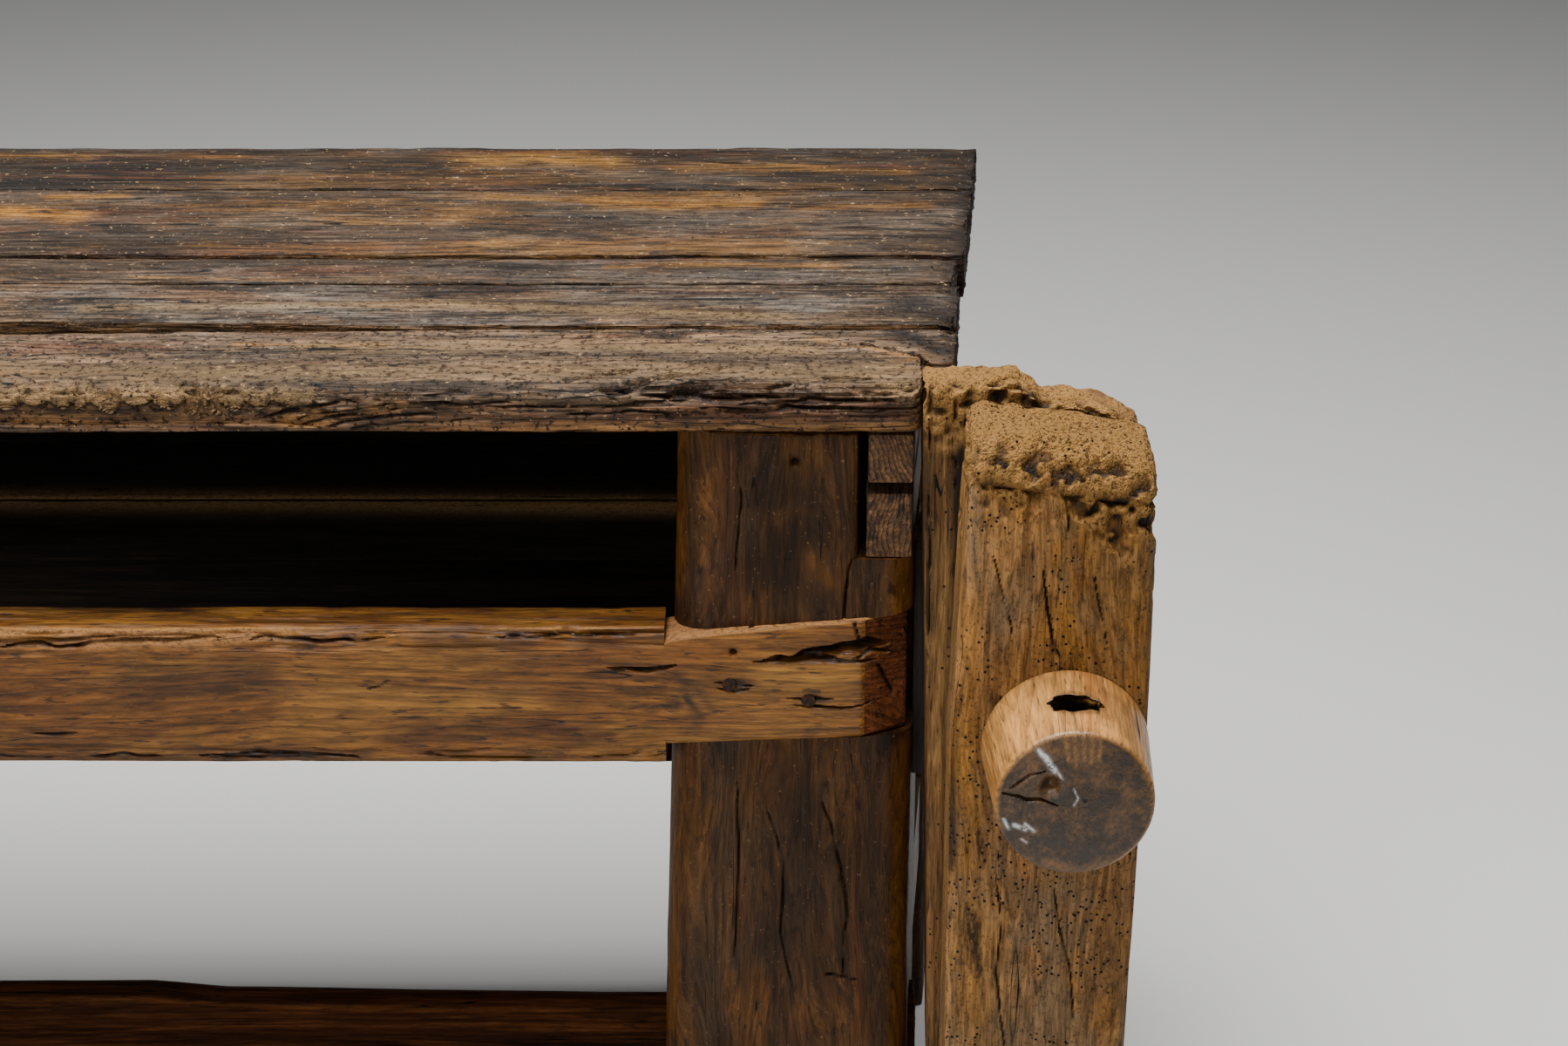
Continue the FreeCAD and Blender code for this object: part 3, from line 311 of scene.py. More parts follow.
def draw_wear(surface, cracks, strokes, **plane):
    """Draws the lines that the photograph shows on one plane: cracks first, then stains.

    A crack is its width and depth in mm, and a stain its mark, width in mm and strength. The pixels of
    the path follow.
    """
    axis, = plane
    for number, (width, depth, *pixels) in enumerate(cracks):
        crack(surface, trail(pixels, **plane), width * MM, depth * MM, axis, seed=number)
    for mark, width, strength, *pixels in strokes:
        brush(surface, mark, trail(pixels, **plane), width * MM, strength, axis)


# A path counts depth this much, so that it still finds a worn face, and reaches faces turned to the camera
DEPTH_SHARE = 0.12
LEAST_FACING = 0.15
CAMERA_SIDE = {"y": -1, "z": 1}


def near_path(surface, path, reach, axis):
    """Which points near a path face the camera, with their places and the path's, flattened on the axis."""
    weights = np.where(np.arange(3) == "xyz".index(axis), DEPTH_SHARE, 1.0)
    path = np.asarray(path) * weights
    points = surface.points * weights
    inside = ((points > path.min(axis=0) - reach) & (points < path.max(axis=0) + reach)).all(axis=-1)
    inside &= facing(surface, axis, CAMERA_SIDE[axis]) > LEAST_FACING
    return inside, points[inside], path


# Keeps a flat face from being divided by nought
NO_LENGTH = 1e-9


def turned(axis_point, place, radius, around, twist=None):
    """A surface turned about a line along Y: (x, z) = axis + r (cos t, -sin t) at each place.

    twist is a function of the turn and the place that is added to the radius.
    """
    turn = np.linspace(0, FULL_TURN, around, endpoint=False)
    radius = radius[:, None] + 0 * turn
    if twist is not None:
        radius = radius + twist(turn[None, :], place[:, None])
    points = np.stack((axis_point[0] + radius * np.cos(turn), place[:, None] + 0 * radius,
                       axis_point[2] - radius * np.sin(turn)), axis=-1)
    slope = np.gradient(radius, axis=0)
    advance = np.gradient(place)[:, None] + NO_LENGTH
    size = np.sqrt(slope ** 2 + advance ** 2)
    out = advance / size
    normals = np.stack((out * np.cos(turn), -slope / size, -out * np.sin(turn)), axis=-1)
    return unstained("Y", points, normals, np.ones_like(radius))


def stations(stops, steps):
    """Places along a run at even steps between stops. Two stops at one place make a sharp step."""
    places = [stops[0]]
    for start, end, step in zip(stops, stops[1:], steps):
        count = max(int(math.ceil(abs(end - start) / step)), 1)
        places.extend(np.linspace(start, end, count + 1)[1:])
    return np.array(places)


def weather(surface, wear, swell, ridge, seed, proud=0.0):
    """Wears a surface inwards along its normals, from a little proud of its place, and stains it.

    depth = swell (1 + N1)/2 + ridge (2 + N2 + N3)/4 + wear e^(-near/wear) (1 - c + 2c N4²) - proud, where
    N1 is broad, N2 and N3 run in narrow strands along the grain, N4 is as long as a chip, and c is its share.
    """
    points = surface.points
    run = surface.run
    broad = noise(points, stretched(run, 260 * MM, 80 * MM), seed)
    strand = noise(points, stretched(run, 70 * MM, 6 * MM), seed + 1)
    fine = noise(points, stretched(run, 35 * MM, 3 * MM), seed + 2)
    bite = noise(points, stretched(run, 26 * MM, 15 * MM), seed + 3)
    edge = np.exp(-surface.near / wear)
    depth = swell * (1 + broad) / 2 + ridge * (2 + strand + fine) / 4 - proud
    depth = depth + wear * edge * (1 - CHIP_SHARE + 2 * CHIP_SHARE * bite ** 2)
    press(surface, depth)
    stain(surface, honey=ramp(0.25, 0.9, edge), grime=ramp(0.2, 1, -broad) * 0.5)


def splinter(surface, share, depth, length, width, seed):
    """Tears a surface into long splinters: share depth (1 - |N|)³, with N long on the run."""
    strands = 1 - np.abs(noise(surface.points, stretched(surface.run, length, width), seed))
    torn = strands ** 3 * share
    press(surface, torn * depth)
    stain(surface, grime=ramp(0.55, 1, torn) * 0.8)


def line_distance(points, path):
    """The distance of each point from a path, and how far along the path it lies, from 0 to 1."""
    best = np.full(points.shape[:-1], np.inf)
    progress = np.zeros(points.shape[:-1])
    for number, (start, end) in enumerate(zip(path, path[1:])):
        way = np.asarray(end) - start
        share = np.clip((points - start) @ way / (way @ way), 0, 1)
        distance = np.linalg.norm(points - start - share[..., None] * way, axis=-1)
        closer = distance < best
        best = np.where(closer, distance, best)
        progress = np.where(closer, (number + share) / (len(path) - 1), progress)
    return best, progress


def crack(surface, path, width, depth, axis, seed):
    """Splits a surface along a path: depth (1 - distance/width), narrowing to both ends as sin(pi t)."""
    inside, points, path = near_path(surface, path, 3 * width + 4 * MM, axis)
    if not len(points):
        return
    wander = (0.8 * MM + 0.5 * width) * noise(points, stretched(surface.run, 14 * MM, 8 * MM), seed)
    sideways = 1 - np.eye(3)["XYZ".index(surface.run)]
    distance, progress = line_distance(points + wander[:, None] * sideways, path)
    local = width * np.sin(math.pi * np.clip(progress, 0.02, 0.98)) ** 0.6 + 0.5 * MM
    cut = np.clip(1 - distance / local, 0, 1)
    surface.points[inside] -= surface.normals[inside] * (depth * cut)[:, None]
    surface.grime[inside] = np.maximum(surface.grime[inside], ramp(0.05, 0.6, cut))
    surface.honey[inside] *= 1 - cut
    surface.dust[inside] *= 1 - cut


def dent(surface, centre, radius, depth, axis, mark, strength):
    """Presses a bowl into a surface: depth e^(-(distance/radius)²), and stains it."""
    inside, points, (centre,) = near_path(surface, [centre], 3 * radius, axis)
    bowl = np.exp(-(np.linalg.norm(points - centre, axis=-1) / radius) ** 2)
    surface.points[inside] -= surface.normals[inside] * (depth * bowl)[:, None]
    values = getattr(surface, mark)
    values[inside] = np.maximum(values[inside], strength * bowl)


def brush(surface, mark, path, width, strength, axis):
    """Stains a surface along a path, by strength e^(-(distance/width)²)."""
    inside, points, path = near_path(surface, path, 3 * width, axis)
    distance, _ = line_distance(points, path)
    values = getattr(surface, mark)
    values[inside] = np.clip(values[inside] + strength * np.exp(-(distance / width) ** 2), 0, 1)


def make_mesh(name, surface):
    """A closed mesh of quads between a surface's rows, with a fan of triangles on each end."""
    rows, around = surface.points.shape[:2]
    poles = [surface.points[0].mean(axis=0), surface.points[-1].mean(axis=0)]
    points = np.vstack((surface.points.reshape(-1, 3), poles))
    first = np.arange(rows * around).reshape(rows, around)
    after = np.roll(first, -1, axis=1)
    quads = np.stack((first[:-1], after[:-1], after[1:], first[1:]), axis=-1).reshape(-1, 4)
    low_fan = np.stack((np.full(around, rows * around), after[0], first[0]), axis=-1)
    high_fan = np.stack((first[-1], after[-1], np.full(around, rows * around + 1)), axis=-1)
    corner_ids = np.concatenate((quads.ravel(), low_fan.ravel(), high_fan.ravel()))
    sizes = np.concatenate((np.full(len(quads), 4), np.full(2 * around, 3)))
    mesh = bpy.data.meshes.new(name)
    mesh.vertices.add(len(points))
    mesh.vertices.foreach_set("co", points.ravel())
    mesh.loops.add(len(corner_ids))
    mesh.loops.foreach_set("vertex_index", corner_ids)
    mesh.polygons.add(len(sizes))
    mesh.polygons.foreach_set("loop_start", np.concatenate(((0,), np.cumsum(sizes)[:-1])))
    mesh.update(calc_edges=True)
    for mark in MARKS:
        values = getattr(surface, mark)
        ends = (values[0].mean(), values[-1].mean())
        layer = mesh.attributes.new(mark, "FLOAT", "POINT")
        layer.data.foreach_set("value", np.append(np.clip(values, 0, 1).ravel(), ends).astype(np.float32))
    mesh.polygons.foreach_set("use_smooth", np.ones(len(sizes), bool))
    mesh.set_sharp_from_angle(angle=SHARP_ANGLE)
    return mesh


def add_piece(name, mesh, materials, body, slot, *nodes):
    """Puts a mesh in the scene as a piece that rides on a body and stands for its nodes."""
    piece = bpy.data.objects.new(name, mesh)
    bpy.context.scene.collection.objects.link(piece)
    for material in materials:
        mesh.materials.append(material)
    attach(piece, body)
    if nodes:
        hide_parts(*nodes)
    return piece


def add_timber(name, surface, wood, body, slot, *nodes):
    """Adds a surface as a piece of one wood."""
    add_piece(name, make_mesh(name, surface), (wood,), body, slot, *nodes)


def set_material(node, material):
    """Gives a node of the frame one material."""
    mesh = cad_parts[node].data
    mesh.materials.clear()
    mesh.materials.append(material)


# Materials

def linear(code):
    """An sRGB hex colour as linear red, green and blue, with an alpha of one."""
    values = [int(code[place:place + 2], 16) / 255 for place in (1, 3, 5)]
    return [value / 12.92 if value <= 0.04045 else ((value + 0.055) / 1.055) ** 2.4
            for value in values] + [1.0]


def add(tree, kind, inputs=None, output=0, **settings):
    """Adds a node with its settings and gives back one output. An input that is given a socket is linked."""
    node = tree.nodes.new(kind)
    for name, value in settings.items():
        setattr(node, name, value)
    for key, value in (inputs or {}).items():
        if isinstance(value, bpy.types.NodeSocket):
            tree.links.new(value, node.inputs[key])
        else:
            node.inputs[key].default_value = value
    return node.outputs[output] if len(node.outputs) else node


def bare_material(name):
    """A material whose tree is still empty, and the tree."""
    material = bpy.data.materials.new(name)
    material.use_nodes = True
    material.node_tree.nodes.clear()
    return material, material.node_tree


# Each grain's length and width in mm, its detail and roughness, and whether it sways. The finest are drawn
# coarser than a pore or a fibre is, so that they show in the render.
GRAINS = {
    "ring": (300, 22, 2, 0.5, True),
    "fibre": (30, 2.6, 3, 0.65, True),
    "strand": (130, 8, 5, 0.7, True),
    "streak": (480, 30, 5, 0.64, True),
    "patch": (200, 40, 5, 0.64, True),
    "tint": (260, 26, 5, 0.66, True),
    "blotch": (120, 50, 6, 0.68, False),
    "soil": (110, 34, 6, 0.72, False),
    "crumb": (3.6, 2.8, 3, 0.7, False),
    "pore": (20, 2.6, 2, 0.55, True),
    "split": (320, 12, 1, 0.5, False),
    "gate": (110, 20, 2, 0.5, False),
    "colony": (70, 60, 1, 0.5, False),
}
RANGE_INPUTS = ("Value", "From Min", "From Max", "To Min", "To Max")


# Numbers of a colour mix node's sockets
FACTOR, FIRST, SECOND, MIXED = 0, 6, 7, 2


def old_wood(name, run, tone, honey, seed=0, deep=0.3, light=1.8, red=0.0, pith=(0.12, -0.05), ring=4.5 * MM,
             rings=0.35, fibres=0.35, silver_and_sheen=0.0, glow=0.0, checks=0.5, worms=0.0, grime=0.3, gloss=0.35,
             shine=0.4, bump=0.6, flame=12 * MM, fleck=0.0, pores=0.4, pitted=0.0, coarse=1.0,
             sand="#996d35", grey="#5f574e", warm="#6e3416", soil="#140c06"):
    """Old oiled timber, solid all through, so that its faces show grain and its ends show rings.

    Its tone is mixed with a deeper and a lighter one. Rings are the distance from the pith, in steps of
    one year's growth. Checks are the thin lines where a long noise crosses its middle, and worm holes are
    the cores of small cells, where a broad noise lets them be.
    """
    material, tree = bare_material(name)
    axis = "XYZ".index(run)
    place = add(tree, "ShaderNodeTexCoord", output="Object")

    # The grain sways slowly from side to side on its way
    slow = [1 / (75 * MM)] * 3
    slow[axis] = 1 / (420 * MM)
    sway = add(tree, "ShaderNodeMapping", {"Vector": place, "Scale": slow, "Location": [seed * 3.7] * 3})
    sway = add(tree, "ShaderNodeTexNoise", {"Vector": sway, "Scale": 1.0, "Detail": 2.0}, output="Color")
    sway = add(tree, "ShaderNodeVectorMath", {0: sway, 1: (0.5, 0.5, 0.5)}, operation="SUBTRACT")
    push = [flame * 2] * 3
    push[axis] = 0
    flow = add(tree, "ShaderNodeVectorMath", {0: sway, 1: push, 2: place}, operation="MULTIPLY_ADD")

    values = {mark: add(tree, "ShaderNodeAttribute", output="Fac", attribute_name=mark) for mark in MARKS}
    for number, (kind, (length, across, detail, roughness, sways)) in enumerate(GRAINS.items()):
        scale = [1 / (across * coarse * MM)] * 3
        scale[axis] = 1 / (length * coarse * MM)
        mapped = add(tree, "ShaderNodeMapping", {"Vector": flow if sways else place, "Scale": scale,
                                                 "Location": [seed * 3.7 + number * 1.3] * 3})
        values[kind] = add(tree, "ShaderNodeTexNoise", {"Vector": mapped, "Scale": 1.0, "Detail": detail,
                                                        "Roughness": roughness})

    offset = [0, 0, 0]
    offset[(axis + 1) % 3], offset[(axis + 2) % 3] = pith
    flat = [1, 1, 1]
    flat[axis] = 0
    centred = add(tree, "ShaderNodeMapping", {"Vector": flow, "Location": offset, "Scale": flat})
    values["radius"] = add(tree, "ShaderNodeVectorMath", {0: centred}, output="Value", operation="LENGTH")
    cells = {"Vector": place, "Scale": 1 / (4.6 * MM)}
    values["hole"] = add(tree, "ShaderNodeTexVoronoi", cells)
    lots = add(tree, "ShaderNodeTexVoronoi", cells, output="Color")
    values["lot"] = add(tree, "ShaderNodeSeparateColor", {"Color": lots})

    # Where each value begins to show and where it shows in full
    soiled = 0.22 * grime
    checked = 0.25 * checks
    for kind, *terms in (
            ("mid", "streak", 0.36, 0.58, 0, 1),
            ("light", "strand", 0.47, 0.66, 0, 1),
            ("glow", "patch", 0.5, 0.62, 0, glow),
            ("red", "tint", 0.52, 0.62, 0, red),
            ("silver_and_sheen", "blotch", 0.48, 0.6, 0, silver_and_sheen),
            ("fibre shade", "fibre", 0.34, 0.66, 1 - fibres, 1 + fibres * 0.5),
            ("soil", "soil", 0.66 - soiled, 0.76 - soiled, 0, 0.88),
            ("pore", "pore", 0.62, 0.67, 0, pores),
            ("fleck", "crumb", 0.65, 0.69, 0, fleck),
            ("pit", "crumb", 0.42, 0.36, 0, pitted),
            ("gate", "gate", 0.66 - checked, 0.72 - checked, 0, 1),
            ("colony", "colony", 0.44, 0.47, 0, 1),
            ("hole", "hole", 0.2, 0.25, 1, 0),
            ("powder", "crumb", 0.3, 0.55, 0.35, 1.25),
            ("hollow", "crumb", 0.46, 0.38, 0, 0.7),
            ("rough", "fibre", 0.3, 0.7, 0.95 - gloss, 0.75 - gloss)):
        inputs = {key: values.get(term, term) for key, term in zip(RANGE_INPUTS, terms)}
        values[kind] = add(tree, "ShaderNodeMapRange", inputs)

    # What is worked out from them, step by step
    for kind, operation, *terms in (
            ("years", "MULTIPLY", "radius", 1 / ring),
            ("years", "MULTIPLY_ADD", "ring", 2.5, "years"),
            ("years", "FRACT", "years"),
            ("late", "POWER", "years", 2.2),
            ("shade", "MULTIPLY_ADD", "late", -rings, 1.0),
            ("shade", "MULTIPLY", "shade", "fibre shade"),
            ("line", "COMPARE", "split", 0.5, 0.005),
            ("line", "MULTIPLY", "line", "gate"),
            ("lot", "GREATER_THAN", "lot", 1 - worms),
            ("hole", "MULTIPLY", "hole", "lot"),
            ("hole", "MULTIPLY", "hole", "colony"),
            ("opened", "MAXIMUM", "line", "hole"),
            ("worn", "MULTIPLY_ADD", "strand", 1.1, -0.35),
            ("worn", "ADD", "worn", "honey"),
            ("worn", "MULTIPLY", "worn", "honey"),
            ("smear", "MULTIPLY_ADD", "strand", 1.2, 0.35),
            ("smear", "MULTIPLY", "smear", "grime"),
            ("soil", "MAXIMUM", "soil", "smear"),
            ("powder", "MULTIPLY", "powder", "dust"),
            ("hollow", "MULTIPLY", "hollow", "dust"),
            ("rough", "MULTIPLY_ADD", "dust", 0.4, "rough"),
            ("rough", "MULTIPLY_ADD", "honey", -0.25, "rough"),
            ("height", "ADD", "fibre", "strand"),
            ("height", "MULTIPLY_ADD", "late", 0.3, "height"),
            ("height", "MULTIPLY_ADD", "pit", -0.8, "height"),
            ("height", "MULTIPLY_ADD", "opened", -1.6, "height"),
            ("grains", "MULTIPLY", "dust", "crumb"),
            ("height", "MULTIPLY_ADD", "grains", 6.0, "height")):
        inputs = {number: values.get(term, term) for number, term in enumerate(terms)}
        values[kind] = add(tree, "ShaderNodeMath", inputs, operation=operation)

    # The grey blotches of the silver mix are partly weathered grey wood, partly a painted sheen
    under = (("mid", tone), ("light", lighter(tone, light)), ("glow", linear(honey)), ("red", linear(warm)),
             ("silver_and_sheen", linear(grey)), ("worn", linear(honey)))
    over = (("soil", soil), ("pore", "#0e0805"), ("fleck", "#b8966a"), ("pit", "#1a0f08"), ("powder", sand),
            ("hollow", "#3a240f"), ("opened", "#080503"))
    colour = lighter(tone, deep)
    for kind, paint in under:
        colour = add(tree, "ShaderNodeMix", {FACTOR: values[kind], FIRST: colour, SECOND: paint},
                     output=MIXED, data_type="RGBA")
    colour = add(tree, "ShaderNodeVectorMath", {0: colour, "Scale": values["shade"]}, operation="SCALE")
    for kind, paint in over:
        colour = add(tree, "ShaderNodeMix", {FACTOR: values[kind], FIRST: colour, SECOND: linear(paint)},
                     output=MIXED, data_type="RGBA")

    relief = add(tree, "ShaderNodeBump", {"Height": values["height"], "Strength": 1.0, "Distance": bump * MM})
    shader = add(tree, "ShaderNodeBsdfPrincipled", {
        "Base Color": colour, "Roughness": values["rough"], "IOR": 1.5, "Specular IOR Level": shine,
        "Normal": relief})
    add(tree, "ShaderNodeOutputMaterial", {"Surface": shader})
    return material


def lighter(tone, factor):
    """A linear colour made lighter or deeper, with its alpha kept."""
    return [min(value * factor, 1) for value in tone[:3]] + [1.0]


def forged_iron():
    """Wrought iron nails: dark scale with brown rust, rough from the hammer."""
    material, tree = bare_material("wrought_iron")
    place = add(tree, "ShaderNodeTexCoord", output="Object")
    rust = add(tree, "ShaderNodeTexNoise", {"Vector": place, "Scale": 1 / (3 * MM), "Detail": 3.0})
    patch = add(tree, "ShaderNodeMapRange", {"Value": rust, "From Min": 0.42, "From Max": 0.62})
    colour = add(tree, "ShaderNodeMix", {FACTOR: patch, FIRST: linear("#1d1815"), SECOND: linear("#4a2c1a")},
                 output=MIXED, data_type="RGBA")
    rough = add(tree, "ShaderNodeMapRange", {"Value": rust, "To Min": 0.4, "To Max": 0.8})
    relief = add(tree, "ShaderNodeBump", {"Height": rust, "Strength": 0.8, "Distance": 0.5 * MM})
    shader = add(tree, "ShaderNodeBsdfPrincipled", {"Base Color": colour, "Roughness": rough, "Metallic": 0.7,
                                                    "Normal": relief})
    add(tree, "ShaderNodeOutputMaterial", {"Surface": shader})
    return material


def painted_floor(tone):
    """A studio floor of matt pale paint."""
    material, tree = bare_material("matt_floor_paint")
    shader = add(tree, "ShaderNodeBsdfPrincipled", {"Base Color": tone, "Roughness": 0.85, "IOR": 1.45})
    add(tree, "ShaderNodeOutputMaterial", {"Surface": shader})
    return material


# Pieces

# The front plank's room beside the fixed jaw and behind it, and the gap of the joints out of the picture
JAW_GAP = 0.6 * MM
JAW_TRIM = 8 * MM
HIDDEN_GAP = 2 * MM
END_PITS = 5 * MM

# How far each plank stands proud, and its gap to the next one at its left and at its right
PLANKS = {
    "top_board_front": (2.0 * MM, 14 * MM, 1.6 * MM),
    "top_board_second": (3.2 * MM, 2.0 * MM, 1.8 * MM),
    "top_board_third": (2.4 * MM, 2.4 * MM, 2.4 * MM),
    "top_board_fourth": (3.4 * MM, 2.0 * MM, 2.0 * MM),
    "top_board_rear": (2.6 * MM, 0, 0),
}
PLANK_CRACKS = {
    "top_board_front": (
        (3.4, 10, (955, 389), (1010, 397), (1068, 411)),
        (1.6, 4, (10, 398), (240, 402), (440, 396)),
        (1.4, 3, (560, 404), (700, 408), (900, 402)),
        (5.0, 7, (690, 443), (760, 433), (842, 420)),
        (4.0, 7, (745, 447), (800, 439), (870, 430)),
        (4.0, 7, (640, 438), (680, 431), (740, 422)),
        (3.0, 6, (880, 440), (940, 434), (1010, 435)),
    ),
    "top_board_second": (
        (1.6, 4, (170, 322), (300, 320), (560, 326)),
        (1.4, 3, (560, 350), (760, 352), (930, 349)),
        (1.4, 3, (30, 345), (200, 348), (360, 346)),
    ),
    "top_board_third": (
        (1.2, 3, (520, 318), (760, 317), (1010, 320)),
    ),
    "top_board_fourth": (
        (1.6, 4, (420, 252), (640, 250), (860, 253)),
        (1.4, 3, (40, 240), (220, 238), (420, 241)),
        (1.4, 3, (700, 272), (900, 274), (1090, 277)),
    ),
    "top_board_rear": (
        (1.4, 3, (120, 196), (380, 194), (700, 196)),
        (1.4, 3, (720, 186), (900, 188), (1100, 187)),
    ),
}
PLANK_STROKES = {
    "top_board_front": (
        ("dust", 16, 0.22, (0, 425), (300, 428), (700, 424), (1040, 428)),
        ("dust", 12, 0.25, (350, 398), (700, 396), (930, 402)),
        ("honey", 4, 0.9, (270, 395), (440, 396)),
        ("honey", 5, 0.8, (935, 388), (1000, 398), (1051, 412)),
        ("grime", 16, 0.6, (70, 425), (190, 428), (240, 425)),
        ("grime", 14, 1.0, (1030, 380), (1060, 392), (1090, 405)),
    ),
    "top_board_second": (
        ("grime", 26, 0.9, (1045, 352), (1085, 362), (1110, 372)),
        ("grime", 12, 0.45, (200, 332), (420, 334)),
        ("honey", 3, 0.8, (330, 321), (560, 323)),
        ("dust", 8, 0.3, (100, 355), (500, 350), (900, 366)),
    ),
    "top_board_third": (
        ("honey", 9, 0.8, (700, 306), (820, 303), (960, 306)),
        ("grime", 12, 0.4, (180, 304), (330, 300), (480, 302)),
        ("honey", 3, 0.8, (150, 318), (260, 320), (330, 322)),
    ),
    "top_board_fourth": (
        ("honey", 22, 1.0, (-40, 246), (30, 244), (80, 250)),
        ("honey", 10, 0.8, (60, 228), (140, 227)),
        ("honey", 20, 0.9, (700, 235), (780, 238), (860, 236)),
        ("honey", 14, 0.6, (920, 240), (1060, 238)),
        ("honey", 8, 0.8, (560, 228), (680, 232)),
        ("grime", 16, 0.6, (560, 256), (640, 254), (700, 256)),
        ("grime", 12, 0.45, (120, 290), (300, 286), (420, 290)),
    ),
    "top_board_rear": (
        ("honey", 26, 0.9, (545, 186), (620, 182), (700, 187)),
        ("honey", 12, 0.8, (0, 180), (100, 181)),
        ("honey", 12, 0.7, (780, 196), (900, 192), (1040, 198)),
        ("grime", 20, 0.6, (330, 184), (400, 186), (470, 183)),
        ("grime", 12, 0.7, (725, 178), (790, 180)),
    ),
}


def plank(node):
    """One plank of the top: worn on its arrises, split along its grain, and shrunk from its neighbour.

    The front one is cut round the fixed jaw, with a quarter circle r - sqrt(r² - d²) before it. Each left
    end waves by 1.5 sin(a/23) + sin(a/7) in mm, and each right end follows the slope and is pitted.
    """
    low, high = corners(node)
    lift, gap_left, gap_right = PLANKS[node]
    front_board = node == "top_board_front"
    shown_left, shown_middle, gap_end = (seen(column, 370, z=high[2])[0] for column in (0, 440, 560))
    if front_board:
        jaw = POST_LOW[0] - JAW_GAP
        rim = 12 * MM
        end = high[0] - END_SLOPE * (POST_HIGH[1] - low[1]) - JAW_TRIM
        s = stations((low[0], TOP_DRAWN_FROM, jaw - rim, jaw, jaw + HAIR, end),
                     (16 * MM, 2.2 * MM, 1 * MM, 1, 2 * MM))
        corner = rim - np.sqrt(np.maximum(rim ** 2 - np.clip(s - jaw + rim, 0, rim) ** 2, 0))
        near_side = np.where(s <= jaw, low[1] + corner, POST_HIGH[1] + POST_NOTCH_ROOM)
        rounds = (3 * MM, 3 * MM, 15 * MM, 5 * MM)
        step = (5 * MM, 2 * MM, 1.4 * MM, 8 * MM)
        arcs = (3, 4, 11, 4)
    else:
        end = high[0] - END_SLOPE * (high[1] - low[1])
        s = stations((low[0], TOP_DRAWN_FROM, end), (16 * MM, 2.8 * MM))
        shrunk = np.interp(s, (low[0], shown_left, shown_middle), (0, 9 * MM, 0))
        near_side = low[1] + shrunk * (node == "top_board_second")
        rounds = (2 * MM, 3 * MM, 3 * MM, 2 * MM)
        step = (7 * MM, 2 * MM, 7 * MM, 10 * MM)
        arcs = (3, 4, 4, 3)
    far_side = high[1] - np.interp(s, (low[0], shown_left, gap_end), (HIDDEN_GAP, gap_left, gap_right))
    surface = timber("X", s, near_side, far_side, low[2], high[2] + lift, rounds, step=step, arcs=arcs,
                     reach=22 * MM, rings=9, stop=lambda a, b: END_SLOPE * (a - low[1]),
                     start=lambda a, b: 1.5 * MM * np.sin(a / (23 * MM)) + MM * np.sin(a / (7 * MM)))
    weather(surface, wear=3 * MM, swell=1.2 * MM, ridge=2.4 * MM, seed=10 + len(node))
    surface.honey = surface.honey * 0.35
    draw_wear(surface, PLANK_CRACKS[node], PLANK_STROKES[node], z=high[2])
    if node == "top_board_second":
        stain(surface, honey=0.7 * facing(surface, "y", -1))
    squared = surface.points[..., 0] - END_SLOPE * (surface.points[..., 1] - low[1])
    near_end = ramp(end - 30 * MM, end - 4 * MM, squared)
    pits = np.abs(noise(surface.points, np.array((24, 18, 12)) * MM, 40))
    pits = pits + 0.3 * noise(surface.points, 6 * MM, 41)
    press(surface, near_end * END_PITS * pits.clip(0))
    stain(surface, grime=0.75 * ramp(0.3, 1, near_end))
    if front_board:
        wear_front_edge(surface, low, high)
    return surface


EDGE_STROKES = (
    ("honey", 7, 0.9, (330, 490), (400, 478), (464, 464)),
    ("honey", 7, 0.6, (470, 492), (700, 493), (1040, 491)),
    ("honey", 6, 0.4, (20, 489), (100, 487), (180, 491)),
    ("dust", 10, 0.4, (1020, 440), (1045, 452)),
    ("grime", 5, 0.4, (640, 476), (800, 480), (1030, 478)),
)
# Where each scallop of the bitten lip starts in the photograph, and its reach in mm
SCALLOPS = ((-20, 5), (22, 4), (53, 5), (82, 6), (101, 7), (132, 4), (168, 5), (204, 8), (226, 5), (238, 8),
            (252, 6), (280, 5), (313, 4), (352, 3), (392, 0))
EDGE_CRACKS = (
    (1.2, 3.0, (322, 494), (352, 480), (400, 471), (450, 465)),
    (1.2, 3.0, (340, 495), (372, 482), (420, 475), (470, 470)),
    (1.2, 3.0, (362, 496), (395, 485), (440, 480), (500, 476)),
    (1.2, 2.6, (392, 496), (425, 489), (470, 486), (540, 482)),
    (2.0, 4.0, (300, 486), (330, 476), (372, 466), (440, 460)),
    (1.8, 4.0, (740, 458), (820, 462), (905, 459)),
    (1.8, 4.0, (800, 470), (890, 472), (985, 468)),
    (1.6, 4.0, (905, 462), (960, 464), (1030, 461)),
    (1.4, 3.0, (560, 468), (640, 471), (720, 468)),
    (1.4, 3.0, (760, 450), (800, 452), (850, 450)),
    (1.4, 3.0, (930, 474), (980, 472), (1020, 474)),
    (1.2, 3.0, (850, 466), (900, 464), (940, 466)),
    (1.2, 3.0, (650, 478), (720, 474), (790, 478)),
    (1.2, 3.0, (470, 462), (540, 466), (600, 463)),
)


